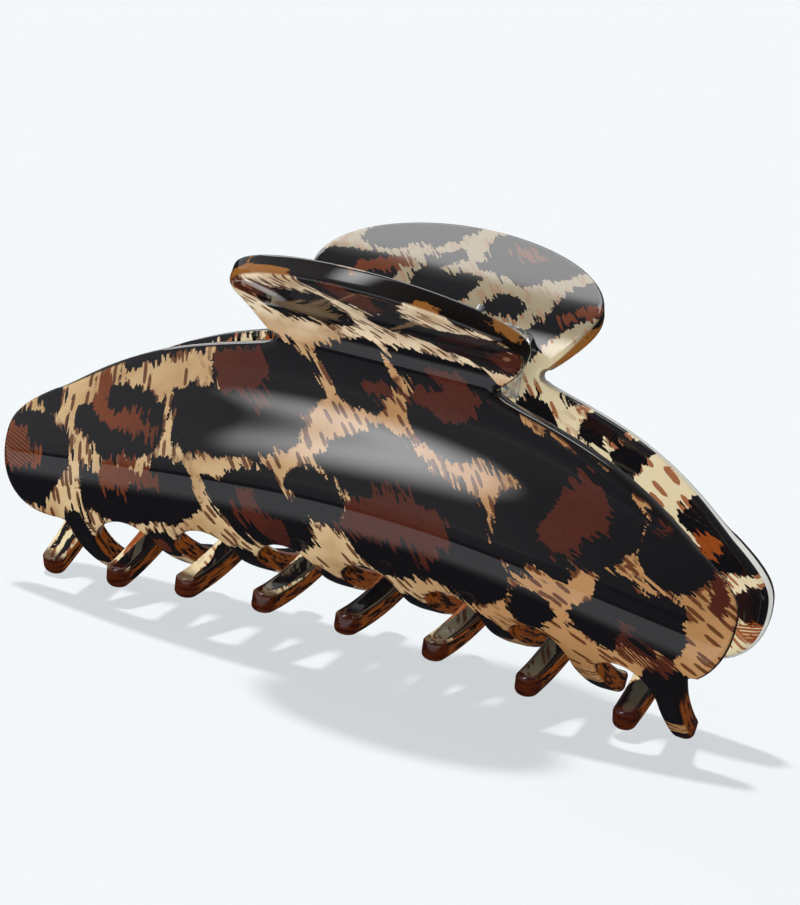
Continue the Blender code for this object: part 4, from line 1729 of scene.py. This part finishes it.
@dataclass
class Studio:
    """Pale floor, soft light and the camera. Places and sizes are in metres."""

    form: SheetForm
    hinge_height: float
    floor_size: float = 12.0
    floor_cells: int = 8
    even_right: Colour = (0.46, 0.47, 0.475, 1.0)
    even_left: Colour = (0.93, 0.945, 0.95, 1.0)
    mirror_right: Colour = (0.02, 0.02, 0.022, 1.0)
    mirror_left: Colour = (0.46, 0.46, 0.47, 1.0)
    mirror_above: Colour = (0.18, 0.185, 0.19, 1.0)
    above: Triple = (0.10, 0.45, 0.80)
    above_edge: Range = (-0.10, 0.95)
    leftward: Range = (0.6, -0.8)
    more_in_front: float = 0.5
    key_strength: float = 1.0
    key_angle: float = math.radians(6.0)
    key_from: Triple = (-0.35, 0.22, 0.97)
    side_strength: float = 0.35
    side_angle: float = math.radians(30.0)
    side_from: Triple = (-0.80, 0.35, 0.36)
    box_size: Size = (0.38, 1.25)
    box_radiance: float = 8.0
    box_target: Triple = (0.0, -0.02, -0.012)
    box_from: Triple = (-0.31, -0.60, 0.73)
    box_distance: float = 0.8
    card_size: Size = (0.50, 0.20)
    card_radiance: float = 4.0
    card_along: Triple = (0.937, 0.138, 0.321)
    card_outward: Triple = (-0.349, 0.369, 0.861)
    card_distance: float = 0.4
    card_edge: float = 12.8 * MM
    focal_pixels: float = 4247.1
    image_width: float = 800.0
    sensor: float = 36.0
    view_end: float = 50.0
    camera_right: Triple = (0.90703, 0.38828, 0.16290)
    camera_up: Triple = (-0.23356, 0.14203, 0.96191)
    camera_back: Triple = (0.35036, -0.91053, 0.21951)
    camera_place: Triple = (0.198937, -0.514673, 0.107640)

    def build(self) -> None:
        """Sets the stage."""
        self._floor()
        self._world()
        self._sun("key", self.key_strength, self.key_angle, self.key_from)
        self._sun("side", self.side_strength, self.side_angle, self.side_from)
        self._front_box()
        self._haze_card()
        self._camera()
        bpy.context.scene.view_settings.view_transform = "Standard"

    def _from_hinge(self, place: Triple) -> Vector:
        """A place that is given from the hinge's axis."""
        return Vector(place) + Vector((0.0, 0.0, self.hinge_height))

    def _floor(self) -> None:
        """A flat sheet of paper, large enough to fill the view."""
        deselect()
        cells = self.floor_cells
        bpy.ops.mesh.primitive_grid_add(x_subdivisions=cells, y_subdivisions=cells, size=self.floor_size)
        floor = bpy.context.view_layer.objects.active
        floor.name = "pale_floor"
        floor.data.materials.append(PaleFloor().material())

    def _world(self) -> None:
        """Even light from all round, more of it from the left and the front. Reflections see a dark room.

        The room is grey at its left and brighter above and behind, so that the black print keeps its depth.
        """
        world = bpy.data.worlds.new("studio")
        bpy.context.scene.world = world
        world.use_nodes = True
        g = Graph(world.node_tree)
        x, y, z = g.split(g.node("ShaderNodeTexCoord", None, None, "Generated"))
        leftward = x.eased(*self.leftward)
        above = (x * self.above[0] + y * self.above[1] + z * self.above[2]).eased(*self.above_edge)
        room = g.mix(above, g.mix(leftward, self.mirror_right, self.mirror_left), self.mirror_above)
        even = g.mix(leftward, self.even_right, self.even_left)
        glossy = g.glossy_ray()
        strength = 1.0 - y * (1.0 - glossy) * self.more_in_front
        inputs = {"Color": g.mix(glossy, even, room), "Strength": strength}
        light = g.node("ShaderNodeBackground", None, inputs)
        g.node("ShaderNodeOutputWorld", None, {"Surface": light})

    def _sun(self, name: str, strength: float, angle: float, source: Triple) -> None:
        """Lights the clip from far away, without a mirror image.

        Args:
            name: The lamp's name.
            strength: Its strength.
            angle: How wide it looks, in radians.
            source: Direction that its light comes from.
        """
        lamp = bpy.data.lights.new(name, "SUN")
        lamp.energy = strength
        lamp.angle = angle
        obj = linked(name, lamp)
        obj.location = source
        obj.rotation_euler = Vector(source).to_track_quat("Z", "Y").to_euler()
        obj.visible_glossy = False

    @staticmethod
    def _mirrored_lamp(name: str, size: Size, radiance: float) -> bpy.types.Object:
        """Makes a rectangular lamp that shows only in reflections.

        Args:
            name: The lamp's name.
            size: Its width and height.
            radiance: How bright it looks, where 1 is white.

        Returns:
            The lamp's object.
        """
        lamp = bpy.data.lights.new(name, "AREA")
        lamp.shape = "RECTANGLE"
        lamp.size, lamp.size_y = size
        lamp.energy = radiance * math.pi * size[0] * size[1]
        obj = linked(name, lamp)
        obj.visible_diffuse = False
        return obj

    def _front_box(self) -> None:
        """A tall box in front that fades out from its middle and glows on the blade."""
        obj = self._mirrored_lamp("front_box", self.box_size, self.box_radiance)
        obj.data.use_nodes = True
        g = Graph(obj.data.node_tree)
        u, v, _ = g.split(g.node("ShaderNodeNewGeometry", None, None, "Parametric"))
        far = ((u - 0.5) * (u - 0.5) + (v - 0.5) * (v - 0.5)).root()
        glow = g.node("ShaderNodeEmission", None, {"Strength": far.eased(0.5, 0.0)})
        g.node("ShaderNodeOutputLight", None, {"Surface": glow})
        target = self._from_hinge(self.box_target)
        place = target + Vector(self.box_from) * self.box_distance
        obj.location = place
        obj.rotation_euler = (place - target).to_track_quat("Z", "Y").to_euler()

    def _haze_card(self) -> None:
        """A card whose mirror image hazes the back tab. Its edge runs along the middle of the tab."""
        obj = self._mirrored_lamp("haze_card", self.card_size, self.card_radiance)
        _, y, z = self.form.point(self.card_edge, -self.form.blank.plate / 2)
        along = Vector(self.card_along).normalized()
        outward = Vector(self.card_outward).normalized()
        rise = outward.cross(along)
        edge = self._from_hinge((0.0, -y, z)) + outward * self.card_distance
        turn = Matrix((along, rise, outward)).transposed().to_4x4()
        obj.matrix_world = Matrix.Translation(edge + rise * (self.card_size[1] / 2)) @ turn

    def _camera(self) -> None:
        """The camera at the photograph's angle."""
        data = bpy.data.cameras.new("camera")
        data.sensor_fit = "HORIZONTAL"
        data.sensor_width = self.sensor
        data.lens = self.focal_pixels / self.image_width * self.sensor
        data.clip_end = self.view_end
        axes = [Vector(axis) for axis in (self.camera_right, self.camera_up, self.camera_back)]
        turn = Matrix(axes).transposed().to_4x4()
        camera = linked("camera", data)
        camera.matrix_world = Matrix.Translation(self._from_hinge(self.camera_place)) @ turn
        bpy.context.scene.camera = camera


def dress(node: str, finish: bpy.types.Material) -> None:
    """Gives a CAD node a finish.

    Args:
        node: The node's name.
        finish: Its material.
    """
    obj = frame["nodes"][node]
    if obj.material_slots:
        obj.material_slots[0].material = finish
    else:
        obj.data.materials.append(finish)
    LOG.info("%s: %s", node, finish.name)


def main() -> None:
    """Builds the clip and its stage."""
    logging.basicConfig(level=logging.INFO, format="%(message)s")
    hinge = frame["joints"][0]["pos_m"][2]
    form = SheetForm(JawBlank())
    jaws = Jaws(form, hinge).build(LeopardPrint(form.blank).material())
    clear = ClearAcrylic().material()
    for node in ("front_lug_left", "front_lug_right", "back_lug_left", "back_lug_right"):
        dress(node, clear)
    pin_steel = BrightSteel("pin_steel", "9A9A9E", 0.22, (400.0, 6000.0, 6000.0))
    dress("hinge_pin", pin_steel.material())
    spring_wire = BrightSteel("spring_wire", "8A8A8E", 0.25, (3000.0, 900.0, 900.0))
    spring = Spring(form, hinge).build(spring_wire.material())
    for piece in (*jaws, spring):
        LOG.info("%s: %d faces", piece.name, len(piece.data.polygons))
    Studio(form, hinge).build()


if __name__ == "__main__":
    main()
